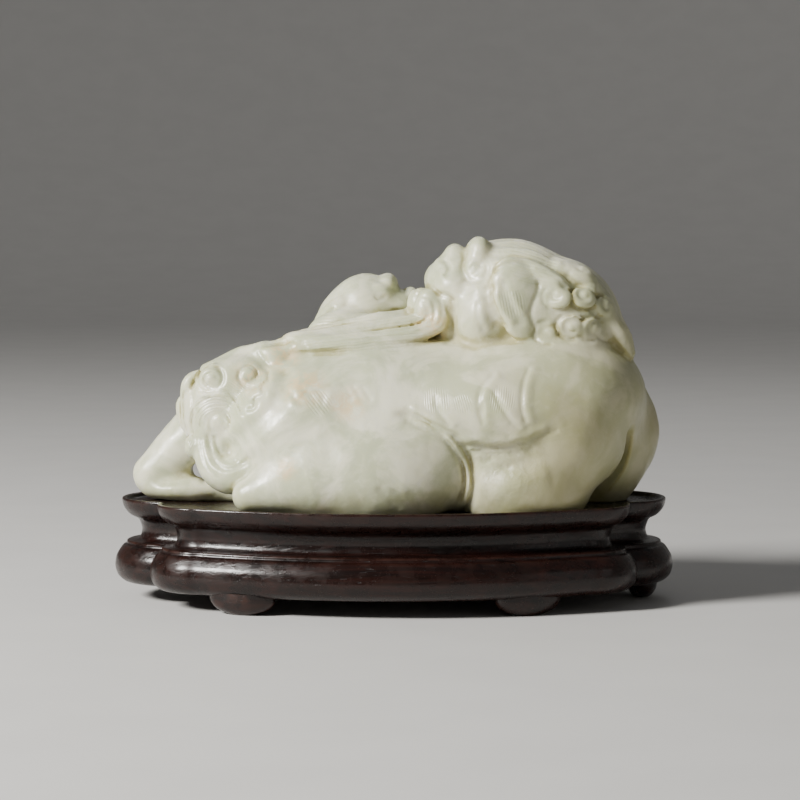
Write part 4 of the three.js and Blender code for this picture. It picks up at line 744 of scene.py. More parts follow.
def ribbon(c):
    """Bands held between the two mouths."""
    add, score = c.add, c.score
    # two broad bands swept back from the mouth and a narrow one behind them
    bands = [
        [[[7.6, -8, 67.6], [10.8, -10, 66.4], [12.8, -11.6, 62.4], [12, -13.4, 57.4],
          [4, -16, 54.6], [-10, -17.4, 53], [-24, -17.4, 51.4], [-38, -16, 49.8]],
         [1.8, 2.5, 3.1, 3.3, 3.2, 3, 2.4, 0.9]],
        [[[6.4, -6, 65.6], [8.2, -8, 64.2], [8.6, -9.6, 61.4], [5.6, -11.4, 58.8],
          [-3, -12.6, 57.4], [-16, -13.2, 55.4], [-30, -13, 53], [-42, -12, 50.6]],
         [1.6, 2, 2.4, 2.6, 2.6, 2.5, 2.2, 1.2]],
        [[[5.6, -4, 60.6], [-4, -9, 59.4], [-17, -9.4, 57.2], [-30, -8, 54.4]], [2, 2.2, 2, 1.4]],
    ]
    for path, radii in bands:
        add(tube(path, radii, flat=1.5, face=[0, -0.8, 0.6], strands=3.2, depth=0.42), 1.2)
    add(blob([6, -5, 63.4], [2.8, 5, 5]), 1)
    add(blob([9.6, -10.4, 62.2], [4, 3.2, 6.4], [0, 10, 0]), 1)
    score([[7.2, 66.4], [10.4, 65.6], [11.6, 61.6], [10.6, 57.6], [5.6, 55.8]], 0.6, 0.4, -1, 8)
    score([[7, 64.6], [9, 63.6], [9.6, 60.6], [8, 58.4], [3.6, 57.2]], 0.6, 0.4, -1, 8)
    # bed under the bands, so that they lie on the back
    add(blob([-8, -12, 50.6], [27, 7.4, 3.4], [0, 6, 0]), 3)
    add(blob([-4, -4.6, 56.4], [15, 7.4, 4.6], [0, -6, 0]), 2)


def relief(c):
    """Lines, folds and worn edges on the flanks."""
    cut, score = c.cut, c.score
    # band round the knee between two lines
    score([[-2, 31.8], [4, 30.6], [10, 28.4], [17.8, 24.1], [21.6, 18.5], [23.4, 13], [23.4, 7],
           [21.4, 1], [19, -3]], 2.2, 1.15)
    score([[1, 29.8], [8, 27], [14.4, 23.7], [18.4, 18.5], [20.4, 13.6], [20.4, 8.2], [18.4, 2.6]],
          1.5, 0.8)
    score([[3, 30], [11, 26.8], [16.6, 23.4], [20.2, 18.5], [22, 13], [22, 7], [20, 1.6]],
          1.1, -0.5)
    # edge of the flank over the foreleg: a crisp step with a rough hollow under it
    edge = [[17.4, 22.8], [21.2, 22.4], [24.6, 22.8], [27.6, 21.8], [31.2, 22.2], [34, 22],
            [36.4, 23.4], [39.6, 23.6], [41.8, 25.2], [44.6, 26], [47.4, 27.6]]
    for dx, dz, width, depth in ((0, -0.8, 1.2, 0.6), (0.4, -2.4, 3, 0.35), (0.6, -6.4, 5.4, 0.3),
                                 (0, 1.1, 2, -0.4)):
        score([[x + dx, z + dz] for x, z in edge], width, depth)
    chips = [[24.6, 19.6], [30.2, 21.2], [36.4, 19], [42.8, 23.8], [47.6, 26], [27.6, 16.6],
             [33.6, 14.6], [40, 20.4]]
    for x, z in chips:
        score([[x - 2, z + 0.9], [x, z], [x + 1.7, z + 1.2]], 1.2, 0.3)
    # flame-shaped locks on the flank, each a soft ridge beside a fine curved line
    flames = [
        [[1.6, 33.6], [6.6, 30.8], [11, 27.8], [15.6, 23.6]],
        [[12, 37.6], [12, 34.2], [13.8, 30.8], [16.6, 27.4]],
        [[30.4, 44.2], [26, 39.4], [24.8, 34], [26.6, 27.4]],
        [[29.4, 39], [31.6, 34.2], [34.8, 29.4], [37.6, 26.6]],
        [[40.8, 46.2], [38.6, 40.4], [38, 34], [39.6, 28]],
    ]
    for path in flames:
        score(path, 1.1, 0.42)
        score([[x + 1.9, z + 0.2] for x, z in path], 2.4, -0.3)
    cut(blob([26, -43, 33.6], [1.5, 3, 6], [0, 6, 10]), 0.5)
    cut(blob([14.6, -44, 32.2], [1.6, 3, 3.8], [0, -12, -8]), 0.5)
    # worn tufts on the rump, low and uneven
    score([[-37, 38], [-34.4, 39.8], [-31.4, 38.6], [-29, 36.4]], 1.8, -0.2)
    score([[-29.4, 39], [-26, 39.6], [-22.6, 39.2], [-20.4, 37.4], [-21.6, 34.4], [-20, 31.6]],
          1.8, -0.25)
    score([[-34, 36.6], [-32, 34], [-28.6, 32.2], [-25, 33.6], [-21.6, 31]], 1.5, -0.18)
    for path, depth in (([[-33.4, 38], [-31, 35.4], [-28.4, 33.8]], 0.2),
                        ([[-28.6, 38], [-26.2, 36.6], [-24.6, 33.6]], 0.2),
                        ([[-25, 38.4], [-22.8, 36.4], [-22.4, 33.8]], 0.18)):
        score(path, 0.9, depth)
    for i in range(3):
        score([[-17 + 3 * i, 40.6 - 0.4 * i], [-13.6 + 3 * i, 35.4 - 0.4 * i]], 0.8, 0.16)
    # far side, plainer: band round the knee and lines on the shoulder
    score([[2, 30.6], [10, 28.4], [17.8, 24.1], [22, 17], [22.6, 9], [20, 1]], 2.8, 1.4, 1, 18)
    score([[4, 28], [12, 25], [18.4, 18.5], [20, 10], [18.4, 2.6]], 1.5, 0.6, 1, 18)
    for path in ([[30, 44], [28, 38], [29, 31]], [[38, 45], [36, 38], [37.4, 31]],
                 [[46, 45], [44.6, 39], [46, 33]]):
        score(path, 1.6, 0.6, 1, 18)
    # soft muscle lines of the foreleg
    score([[28, 6], [37, 10], [47, 14]], 4.4, -0.4)
    score([[27, 12], [35, 15.4], [43, 19.4]], 3, 0.3)
    # toes of the near hind paw
    for i in range(3):
        score([[-6 + 4.4 * i, 9.6 - 0.8 * i], [-2.6 + 4.4 * i, 5.8 - 0.5 * i], [1.4 + 4.4 * i, 2]],
              2, 0.28)


# Meshes

def linked(name, data):
    """A new object of the data, linked to the scene."""
    made = bpy.data.objects.new(name, data)
    bpy.context.scene.collection.objects.link(made)
    return made


def mesh_object(name, points, faces):
    """A new object with the points and faces."""
    mesh = bpy.data.meshes.new(name)
    mesh.from_pydata(points.tolist(), [], faces)
    return linked(name, mesh)


def apply_modifiers(piece):
    """Replaces the mesh by what its modifiers make of it."""
    graph = bpy.context.evaluated_depsgraph_get()
    done = bpy.data.meshes.new_from_object(piece.evaluated_get(graph))
    piece.modifiers.clear()
    old = piece.data
    piece.data = done
    bpy.data.meshes.remove(old)
    done.name = piece.name


def add_mask(piece, name, values):
    """Stores a value from 0 to 1 for each vertex, for the materials to read."""
    mask = piece.data.attributes.new(name, "FLOAT", "POINT")
    mask.data.foreach_set("value", np.clip(values, 0, 1).astype(np.float32))


def vertices_of(piece):
    """Places and normals of the vertices, one row each."""
    found = []
    for key in ("co", "normal"):
        values = np.zeros(len(piece.data.vertices) * 3)
        piece.data.vertices.foreach_get(key, values)
        found.append(values.reshape(-1, 3))
    return found


# most triangles that the carving keeps
FACE_LIMIT = 190000
# block of grid that the carving is worked in, in millimetres
FIELD_LOW, FIELD_HIGH = [-91, -49, -7], [89, 51, 91]
# how far out from the surface hollows are felt for, with the share of each reach, and how far in
# thin parts are felt for, in millimetres
HOLLOW_REACHES = ((0.8, 0.35), (2.0, 0.35), (4.5, 0.3))
HOLLOW_GAIN = 1.9
THIN_REACHES = (2.5, 5.0)
# bend of each wave by the one before it
WAVE_BEND = 1.4
# wave vectors per millimetre and heights of the faint unevenness that hand polishing leaves
WAVES = [((0.42, 0.15, 0.25), 0.05), ((-0.20, 0.38, 0.33), 0.05), ((0.19, -0.31, 0.49), 0.04),
         ((1.45, 0.8, -0.6), 0.012), ((-0.9, 1.2, 1.3), 0.012), ((2.9, 1.1, 1.9), 0.006)]


def hand_polish(clay):
    """Faint waves over the whole surface, bent by one another so that none runs straight."""
    x, y, z = np.ix_(*clay.axes)
    total = np.zeros_like(clay.d)
    bend = np.float32(0)
    for (a, b, c), height in WAVES:
        phase = (a * x + b * y + c * z).astype(np.float32) + bend
        wave = np.sin(phase)
        total += np.float32(height) * wave
        bend = np.float32(WAVE_BEND) * wave
    return total


def carved_lion(step):
    """The stone as one closed mesh, placed by the box of the solid it stands for."""
    low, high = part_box("jade_lion")
    low, high = np.array(low), np.array(high)
    clay = Clay(FIELD_LOW, FIELD_HIGH, step)
    carve(clay)
    clay.d += hand_polish(clay)
    clay.d = np.maximum(clay.d, -clay.axes[2]).astype(np.float32)
    fill_saddles(clay.d, step)
    points, quads = surface_net(clay.d, clay.lo, step)
    points, quads = main_body(points, quads)
    points[:, 2] = np.maximum(points[:, 2], 0)
    scale = (high[0] - low[0]) / np.ptp(points[:, 0])
    middle = (points.max(0) + points.min(0)) / 2
    centre = (low + high) / 2
    shift = np.array([centre[0], centre[1], low[2]]) - scale * np.array([middle[0], middle[1], 0])
    piece = mesh_object("jade_carving", points * scale + shift, quads.tolist())
    piece.data.validate()
    piece.data.shade_smooth()
    thin = piece.modifiers.new("thin", "DECIMATE")
    thin.ratio = min(1.0, FACE_LIMIT / (2 * len(quads)))
    apply_modifiers(piece)
    piece.data.shade_smooth()
    co, normal = vertices_of(piece)
    grid = ((co - shift) / scale - clay.lo) / step
    hollow = np.zeros(len(co))
    for reach, share in HOLLOW_REACHES:
        seen = sampled(clay.d, grid + normal * reach / step)
        hollow += share * np.clip(1 - seen / reach, 0, 1)
    add_mask(piece, "hollow", HOLLOW_GAIN * hollow)
    thin_part = np.zeros(len(co))
    for reach in THIN_REACHES:
        under = sampled(clay.d, grid - normal * reach / step)
        thin_part += np.clip(1 + under / reach, 0, 1) / len(THIN_REACHES)
    add_mask(piece, "thin", thin_part)
    return piece


# The stand

# heights in millimetres, from the floor up
FOOT_HEIGHT = 5.5
LOWER_FLANGE = 13.8
WAIST = 6.4
UPPER_FLANGE = 6.8
SEAT_SINK = 1.6
CORNER_ROUNDING = 1.1
# plan in millimetres: where the front lobe and the end lobe stop, and how far each lobe bulges
FRONT_HALF, END_HALF = 62, 20
FRONT_BULGE, CORNER_BULGE, END_BULGE = 15, 4.5, 13
# feet: place as shares of half the length and depth, and the way each one faces in degrees
FEET = [(-0.52, -0.72, -112), (0.46, -0.74, -68), (0.89, 0.03, 0), (0.24, 0.82, 82),
        (-0.62, 0.62, 122)]
FOOT_HALF_WIDTH, FOOT_HALF_DEPTH = 11, 5
# edges that bend more than this many degrees stay crisp
SHARP_ANGLE = 38
# rings of a foot from the floor up: shares of width, depth and height
FOOT_LEVELS = [(0.30, 0.45, 0), (0.44, 0.55, 0.02), (0.62, 0.68, 0.14), (0.78, 0.8, 0.28),
               (0.88, 0.9, 0.44), (0.97, 0.97, 0.66), (1, 1, 0.86), (1, 1, 1.25)]


def bulged(a, b, bulge, segments):
    """Points along an arc from a to b that bulges to the right of the way."""
    a, b = np.array(a, float), np.array(b, float)
    chord = np.linalg.norm(b - a)
    radius = ((chord / 2) ** 2 + bulge ** 2) / (2 * bulge)
    along = (b - a) / chord
    out = np.array([along[1], -along[0]])
    centre = (a + b) / 2 + out * (bulge - radius)
    half = math.asin(chord / 2 / radius)
    turns = -half + 2 * half * np.arange(segments)[:, None] / segments
    return centre + radius * (out * np.cos(turns) + along * np.sin(turns))


def stand_outline(length, depth):
    """Plan of the stand: end lobes, wide front and back lobes, small corner lobes."""
    end_x, end_y = length / 2 - END_BULGE, END_HALF
    front_x, front_y = FRONT_HALF, depth / 2 - FRONT_BULGE
    near = np.vstack([
        bulged([-front_x, -front_y], [front_x, -front_y], FRONT_BULGE, 72),
        bulged([front_x, -front_y], [end_x, -end_y], CORNER_BULGE, 18),
        bulged([end_x, -end_y], [end_x, end_y], END_BULGE, 36),
        bulged([end_x, end_y], [front_x, front_y], CORNER_BULGE, 18),
    ])
    return np.vstack([near, -near])


def inset(outline, amount):
    """The outline moved inwards by the amount, with its corners kept from spiking."""
    edges = outline - np.roll(outline, 1, 0)
    inward = np.column_stack([-edges[:, 1], edges[:, 0]]) / np.linalg.norm(edges, axis=1)[:, None]
    m = inward + np.roll(inward, -1, 0)
    m /= np.linalg.norm(m, axis=1)[:, None]
    reach = amount / np.maximum(0.55, (m * inward).sum(1))
    return outline + m * reach[:, None]


def lofted(rings):
    """Points and faces of a stack of rings, closed by a flat lid at both ends."""
    n = len(rings[0])
    faces = []
    for r in range(len(rings) - 1):
        for i in range(n):
            a, b = r * n + i, r * n + (i + 1) % n
            faces.append((a, b, b + n, a + n))
    faces.append(tuple(range(n))[::-1])
    faces.append(tuple(range((len(rings) - 1) * n, len(rings) * n)))
    return np.vstack(rings), faces


def solid_object(name, rings):
    """A closed solid from a stack of rings in millimetres."""
    points, faces = lofted(rings)
    return mesh_object(name, points * MM, faces)


def rounded(profile, size, steps=4):
    """The same profile with each inner corner turned into a short curve."""
    p = np.array(profile, float)
    out = [p[0]]
    for i in range(1, len(p) - 1):
        a, b, c = p[i - 1], p[i], p[i + 1]
        la, lc = np.linalg.norm(a - b), np.linalg.norm(c - b)
        first = b + (a - b) * min(size / la, 0.45)
        last = b + (c - b) * min(size / lc, 0.45)
        for k in range(steps):
            t = k / (steps - 1)
            out.append((1 - t) ** 2 * first + 2 * t * (1 - t) * b + t * t * last)
    out.append(p[-1])
    return np.array(out)


def carved_stand(lip):
    """Lobed stand with a sunken seat, a waist between two flanges and five low feet."""
    low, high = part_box("wooden_stand")
    length, depth = (high[0] - low[0]) / MM, (high[1] - low[1]) / MM
    outline = stand_outline(length, depth)
    foot, h, u = FOOT_HEIGHT, LOWER_FLANGE, UPPER_FLANGE
    waist = foot + h
    flange = waist + WAIST
    rim = flange + u
    # inset and height of each corner, from the underside out and up to the seat
    profile = [
        (14, foot), (3.2, foot), (0.9, foot + 0.14 * h), (0, foot + 0.36 * h),
        (0.5, foot + 0.6 * h), (2.6, foot + 0.84 * h), (3.9, foot + 0.87 * h),
        (3.9, waist - 0.04 * h), (8.2, waist), (9, waist + 0.45 * WAIST), (7.8, flange),
        (4.8, flange + 0.2 * u), (2.9, flange + 0.55 * u), (2.4, rim - 0.5), (2.8, rim),
        (2.4 + lip, rim), (3.1 + lip, rim - SEAT_SINK), (12, rim - SEAT_SINK),
    ]
    fine = rounded(profile, CORNER_ROUNDING)
    rings = [np.column_stack([inset(outline, a), np.full(len(outline), z)]) for a, z in fine]
    piece = solid_object("stand_of_hardwood", rings)
    for x, y, angle in FEET:
        added = solid_object("foot", foot_rings(x * length / 2, y * depth / 2, angle))
        join = piece.modifiers.new("foot", "BOOLEAN")
        join.operation = "UNION"
        join.solver = "EXACT"
        join.object = added
        apply_modifiers(piece)
        bpy.data.objects.remove(added)
    piece.data.set_sharp_from_angle(angle=math.radians(SHARP_ANGLE))
    return piece


def foot_rings(cx, cy, angle):
    """Rings of an oval foot that widens upwards into the lower flange."""
    turn = math.radians(angle)
    out = np.array([math.cos(turn), math.sin(turn)])
    side = np.array([-out[1], out[0]])
    around = np.linspace(0, 2 * math.pi, 40, endpoint=False)[:, None]
    rings = []
    for wide, thick, up in FOOT_LEVELS:
        flat = np.array([cx, cy]) + side * np.cos(around) * FOOT_HALF_WIDTH * wide
        flat = flat - out * np.sin(around) * FOOT_HALF_DEPTH * thick
        rings.append(np.column_stack([flat, np.full(len(flat), FOOT_HEIGHT * up)]))
    return rings


# Materials

def node(tree, kind, **values):
    """A new node with inputs or settings of these names."""
    made = tree.nodes.new(kind)
    for key, value in values.items():
        if key in made.inputs:
            made.inputs[key].default_value = value
        else:
            setattr(made, key, value)
    return made


def new_material(name, **finish):
    """A material with one principled shader that has these constant inputs."""
    material = bpy.data.materials.new(name)
    material.use_nodes = True
    tree = material.node_tree
    tree.nodes.clear()
    shader = node(tree, "ShaderNodeBsdfPrincipled", **finish)
    output = tree.nodes.new("ShaderNodeOutputMaterial")
    tree.links.new(shader.outputs["BSDF"], output.inputs["Surface"])
    return material, tree, shader


def object_place(tree):
    """Place on the piece, in metres."""
    return tree.nodes.new("ShaderNodeTexCoord").outputs["Object"]


def noise(tree, place, scale, detail=3.0, rough=0.5, distort=0.0, output="Fac"):
    """Cloudy noise over the place."""
    made = node(tree, "ShaderNodeTexNoise", Scale=scale, Detail=detail, Roughness=rough,
                Distortion=distort)
    tree.links.new(place, made.inputs["Vector"])
    return made.outputs[output]


def shaken(tree, place, scale, amount):
    """The place moved about by noise, so that lines drawn over it run unevenly."""
    made = node(tree, "ShaderNodeVectorMath", operation="MULTIPLY_ADD")
    tree.links.new(noise(tree, place, scale, 2.0, output="Color"), made.inputs[0])
    made.inputs[1].default_value = (amount, amount, amount)
    tree.links.new(place, made.inputs[2])
    return made.outputs[0]


def split_place(tree, place):
    """The x, y and z of the place."""
    parts = tree.nodes.new("ShaderNodeSeparateXYZ")
    tree.links.new(place, parts.inputs[0])
    return parts.outputs


def ramp(tree, value, low, high, to_low=0.0, to_high=1.0):
    """The value taken smoothly from one range to another."""
    made = node(tree, "ShaderNodeMapRange", interpolation_type="SMOOTHSTEP")
    for slot, amount in zip(("From Min", "From Max", "To Min", "To Max"),
                            (low, high, to_low, to_high)):
        made.inputs[slot].default_value = amount
    tree.links.new(value, made.inputs["Value"])
    return made.outputs["Result"]


def math_node(tree, kind, a, b):
    """One step of arithmetic on values or sockets."""
    made = node(tree, "ShaderNodeMath", operation=kind)
    for slot, value in enumerate((a, b)):
        if isinstance(value, (int, float)):
            made.inputs[slot].default_value = value
        else:
            tree.links.new(value, made.inputs[slot])
    return made.outputs[0]


def times(tree, a, b):
    return math_node(tree, "MULTIPLY", a, b)


def plus(tree, a, b):
    return math_node(tree, "ADD", a, b)


def blend_colour(tree, mask, a, b):
    """Colour a where the mask is 0 and b where it is 1."""
    made = node(tree, "ShaderNodeMix", data_type="RGBA")
    tree.links.new(mask, made.inputs[0])
    for slot, value in ((6, a), (7, b)):
        if isinstance(value, bpy.types.NodeSocket):
            tree.links.new(value, made.inputs[slot])
        else:
            made.inputs[slot].default_value = (*value, 1)
    return made.outputs[2]


def mask_of(tree, name):
    """Mask that was stored on the vertices."""
    return node(tree, "ShaderNodeAttribute", attribute_name=name).outputs["Fac"]


def new_group(name, inputs, outputs):
    """An empty node group with these sockets, each with its kind, and its two ends."""
    group = bpy.data.node_groups.new(name, "ShaderNodeTree")
    for way, sockets in (("INPUT", inputs), ("OUTPUT", outputs)):
        for socket, kind in sockets.items():
            group.interface.new_socket(socket, in_out=way, socket_type="NodeSocket" + kind)
    return group, group.nodes.new("NodeGroupInput"), group.nodes.new("NodeGroupOutput")


def wear_group():
    """Uneven rubbing: hollows keep wax and dust, raised parts are polished. The stone also uses the
    hollow mask for its painted shade.
    """
    group, start, end = new_group(
        "handling_wear", {"Hollow": "Float", "Place": "Vector", "Scale": "Float"},
        {"HollowFill": "Float", "Uneven": "Float"})
    fleck = node(group, "ShaderNodeTexNoise", Detail=5, Roughness=0.62)
    group.links.new(start.outputs["Place"], fleck.inputs["Vector"])
    group.links.new(start.outputs["Scale"], fleck.inputs["Scale"])
    uneven = ramp(group, fleck.outputs["Fac"], 0.3, 0.72)
    group.links.new(uneven, end.inputs["Uneven"])
    breadth = math_node(group, "MULTIPLY_ADD", uneven, 0.35)
    breadth.node.inputs[2].default_value = 0.75
    group.links.new(times(group, start.outputs["Hollow"], breadth), end.inputs["HollowFill"])
    return group


def place_group(tree, group, **inputs):
    """A node group in the tree, with values or sockets for its inputs."""
    made = tree.nodes.new("ShaderNodeGroup")
    made.node_tree = group
    for name, value in inputs.items():
        if isinstance(value, (int, float)):
            made.inputs[name].default_value = value
        else:
            tree.links.new(value, made.inputs[name])
    return made


def spot(tree, place, centre, size):
    """Soft round mask about a point, in metres."""
    away = node(tree, "ShaderNodeVectorMath", operation="DISTANCE")
    tree.links.new(place, away.inputs[0])
    away.inputs[1].default_value = centre
    return ramp(tree, away.outputs["Value"], size, size * 0.25)


# height of the floor of the stand's seat, in metres
SEAT_HEIGHT = 0.0309
# fine strokes cut after the forms: centre x and z and radius in metres, direction in degrees,
# spacing in metres
HATCHES = [((0.0135, 0.0360), 0.0046, 4, 0.0007), ((0.0335, 0.0365), 0.0048, -8, 0.0007),
           ((0.0215, 0.0350), 0.0036, 14, 0.0007), ((-0.0490, 0.0370), 0.0046, 52, 0.0007),
           ((-0.0640, 0.0200), 0.0030, -28, 0.0007), ((-0.0225, 0.0350), 0.0044, 38, 0.0009),
           ((-0.0150, 0.0545), 0.0110, 97, 0.0009), ((0.0020, 0.0570), 0.0085, 95, 0.0009),
           ((0.0440, 0.0790), 0.0085, 74, 0.0010), ((0.0370, 0.0650), 0.0050, 12, 0.0009)]
# arcs of strokes round the curls: centre x and z, inner and outer radius, spacing,
# and the direction in degrees that the arcs lie towards
SWIRLS = [((-0.0548, 0.0272), 0.0040, 0.0108, 0.0009, 120),
          ((-0.0577, 0.0412), 0.0026, 0.0056, 0.0009, 200),
          ((-0.0458, 0.0420), 0.0026, 0.0060, 0.0009, 10)]


# width over which the strokes fade out at the outer and inner edge of a patch, how far they
# wander, and the depths between which they leave the near side, in metres
OUTER_FADE, INNER_FADE = 0.0016, 0.0008
STROKE_WANDER = 0.0009
NEAR_SIDE = (-0.002, -0.006)


def stroke_group():
    """Height of rows of fine grooves over the side view, inside a soft-edged disc."""
    names = ("Distance", "Across", "Inner", "Outer", "Spacing")
    group, start, end = new_group("fine_strokes", dict.fromkeys(names, "Float"),
                                  {"Height": "Float"})
    distance, across, inner, outer, spacing = (start.outputs[name] for name in names)
    turns = math_node(group, "DIVIDE", across, spacing)
    wave = math_node(group, "SINE", times(group, turns, 2 * math.pi), 0)
    within = ramp(group, math_node(group, "SUBTRACT", outer, distance), 0, OUTER_FADE)
    beyond = ramp(group, math_node(group, "SUBTRACT", distance, inner), 0, INNER_FADE)
    groove = ramp(group, wave, -1, 0.6, -1, 0)
    group.links.new(times(group, groove, times(group, within, beyond)), end.inputs["Height"])
    return group


def fine_strokes(tree, place):
    """Hatched patches and ringed curls, on the near side only."""
    strokes = stroke_group()
    x, y, z = split_place(tree, shaken(tree, place, 150, STROKE_WANDER))
    total = None
    rows = [(centre, -1.0, radius, gap, angle) for centre, radius, angle, gap in HATCHES] + SWIRLS
    for (cx, cz), inner, outer, gap, angle in rows:
        ringed = inner > 0
        dx = math_node(tree, "SUBTRACT", x, cx)
        dz = math_node(tree, "SUBTRACT", z, cz + SEAT_HEIGHT)
        away = math_node(tree, "SQRT", plus(tree, times(tree, dx, dx), times(tree, dz, dz)), 0)
        c, s = math.cos(math.radians(angle)), math.sin(math.radians(angle))
        along = plus(tree, times(tree, dx, c), times(tree, dz, s))
        patch = place_group(tree, strokes, Distance=away, Across=away if ringed else along,
                            Inner=inner, Outer=outer, Spacing=gap).outputs["Height"]
        if ringed:
            facing = ramp(tree, math_node(tree, "DIVIDE", along, away), 0.1, 0.6)
            patch = times(tree, patch, facing)
        total = patch if total is None else plus(tree, total, patch)
    return times(tree, total, ramp(tree, y, *NEAR_SIDE))


# places where the stone has kept some russet skin: centre and radius in metres
SKIN_SPOTS = [((-0.028, -0.036, 0.071), 0.010), ((-0.014, -0.04, 0.066), 0.008),
              ((-0.045, -0.03, 0.075), 0.010), ((-0.035, -0.024, 0.079), 0.008),
              ((0.012, -0.017, 0.088), 0.008), ((-0.034, -0.044, 0.046), 0.006)]
# painted shade low on the chest: an olive patch where the chest falls into shadow; centre and
# radius
CHEST_PAINTED_SHADE = ((0.080, -0.016, 0.034), 0.094)
# where the skin of the stone was left rough: centre and radius
BROKEN_SKIN = ((0.034, -0.040, 0.047), 0.018)
# heights between which a painted warm glow grows towards the foot of the stone, standing in for
# light that rises from the seat into it
LOW_GLOW = (0.047, 0.031)


def jade_material(look, wear):
    """Pale cloudy stone with painted honey-coloured shade in its hollows, on thin edges, low down
    and on the chest, with russet skin and a waxy polish.
    """
    material, tree, shader = new_material("pale_jade", **{
        "IOR": 1.61, "Subsurface Weight": 0.5, "Subsurface Radius": (1.0, 0.95, 0.62),
        "Subsurface Scale": look.depth})
    place = object_place(tree)
    worn = place_group(tree, wear, Hollow=mask_of(tree, "hollow"), Place=place, Scale=420.0)
    hollow_fill, uneven = worn.outputs["HollowFill"], worn.outputs["Uneven"]
    clouds = ramp(tree, noise(tree, place, 62, 5, 0.6, 0.8), 0.40, 0.64)
    flecks = ramp(tree, noise(tree, place, 260, 4, 0.6, 0.4), 0.5, 0.72, 0, 0.45)
    colour = blend_colour(tree, clouds, look.body_colour, look.cloud_colour)
    colour = blend_colour(tree, flecks, colour, look.cloud_colour)
    # painted shade and glow: warm, honey-coloured olive laid into hollows, thin edges and low down,
    # standing in for shadow and for light seen through the stone
    painted_low_glow = ramp(tree, split_place(tree, place)["Z"], *LOW_GLOW, 0, 0.5)
    painted_low_glow = times(tree, painted_low_glow, ramp(tree, noise(tree, place, 90), 0.3, 0.7, 0.3, 1))
    thin_part = ramp(tree, mask_of(tree, "thin"), 0.45, 1, 0, 0.35)
    painted_warm_shade = plus(tree, ramp(tree, hollow_fill, 0.2, 0.95, 0, 0.8), thin_part)
    painted_warm_shade = ramp(tree, math_node(tree, "MAXIMUM", painted_warm_shade, painted_low_glow), 0, 1, 0, 0.75)
    colour = blend_colour(tree, painted_warm_shade, colour, look.painted_shade_colour)
    # painted shade: the low chest turns olive where it falls into shadow, broken up by cloudy noise
    cloudy = ramp(tree, noise(tree, place, 34, 3, 0.5, 0.5), 0.3, 0.7, 0.55, 1)
    painted_chest_shade = times(tree, times(tree, spot(tree, place, *CHEST_PAINTED_SHADE), cloudy), 0.8)
    colour = blend_colour(tree, painted_chest_shade, colour, look.painted_shade_colour)
    # russet skin and hair-fine veins
    skin = None
    for centre, size in SKIN_SPOTS:
        one = spot(tree, place, centre, size)
        skin = one if skin is None else math_node(tree, "MAXIMUM", skin, one)
    skin = times(tree, skin, ramp(tree, noise(tree, place, 300, 5, 0.65, 1.0), 0.38, 0.6))
    line = node(tree, "ShaderNodeTexVoronoi", feature="DISTANCE_TO_EDGE", Scale=38.0)
    tree.links.new(shaken(tree, place, 60, 0.03), line.inputs["Vector"])
    vein = ramp(tree, line.outputs["Distance"], 0.018, 0.0)
    vein = times(tree, vein, ramp(tree, noise(tree, place, 22, 2), 0.56, 0.7, 0, 0.45))
    russet = math_node(tree, "MAXIMUM", times(tree, skin, 0.85), vein)
    colour = blend_colour(tree, russet, colour, look.vein_colour)
    tree.links.new(colour, shader.inputs["Base Color"])
    polish = ramp(tree, uneven, 0, 1, look.gloss - 0.04, look.gloss + 0.07)
    rough = plus(tree, polish, ramp(tree, hollow_fill, 0.2, 1, 0, 0.22))
    tree.links.new(rough, shader.inputs["Roughness"])
    # faint tool ripple, tiny pits under the polish and the rough skin under the flank's edge
    ripple = noise(tree, place, 170, 3, 0.5)
    pits = ramp(tree, noise(tree, place, 900, 2, 0.5), 0.28, 0.2, 0, 1)
    broken = times(tree, spot(tree, place, *BROKEN_SKIN), noise(tree, place, 330, 5, 0.7, 0.6))
    height = math_node(tree, "SUBTRACT", ripple, times(tree, pits, 0.25))
    height = plus(tree, height, times(tree, broken, 2.6))
    bump = node(tree, "ShaderNodeBump", Strength=0.35, Distance=0.0006)
    tree.links.new(height, bump.inputs["Height"])
    cut_lines = node(tree, "ShaderNodeBump", Strength=0.5, Distance=0.00012)
    tree.links.new(fine_strokes(tree, place), cut_lines.inputs["Height"])
    tree.links.new(bump.outputs["Normal"], cut_lines.inputs["Normal"])
    tree.links.new(cut_lines.outputs["Normal"], shader.inputs["Normal"])
    return material


def stretched(tree, place, scale):
    """The place scaled by its own amount along each axis."""
    made = node(tree, "ShaderNodeMapping", Scale=scale)
    tree.links.new(place, made.inputs["Vector"])
    return made.outputs["Vector"]


PORE_COLOUR = (0.003, 0.002, 0.002)
DUST_COLOUR = (0.09, 0.07, 0.055)


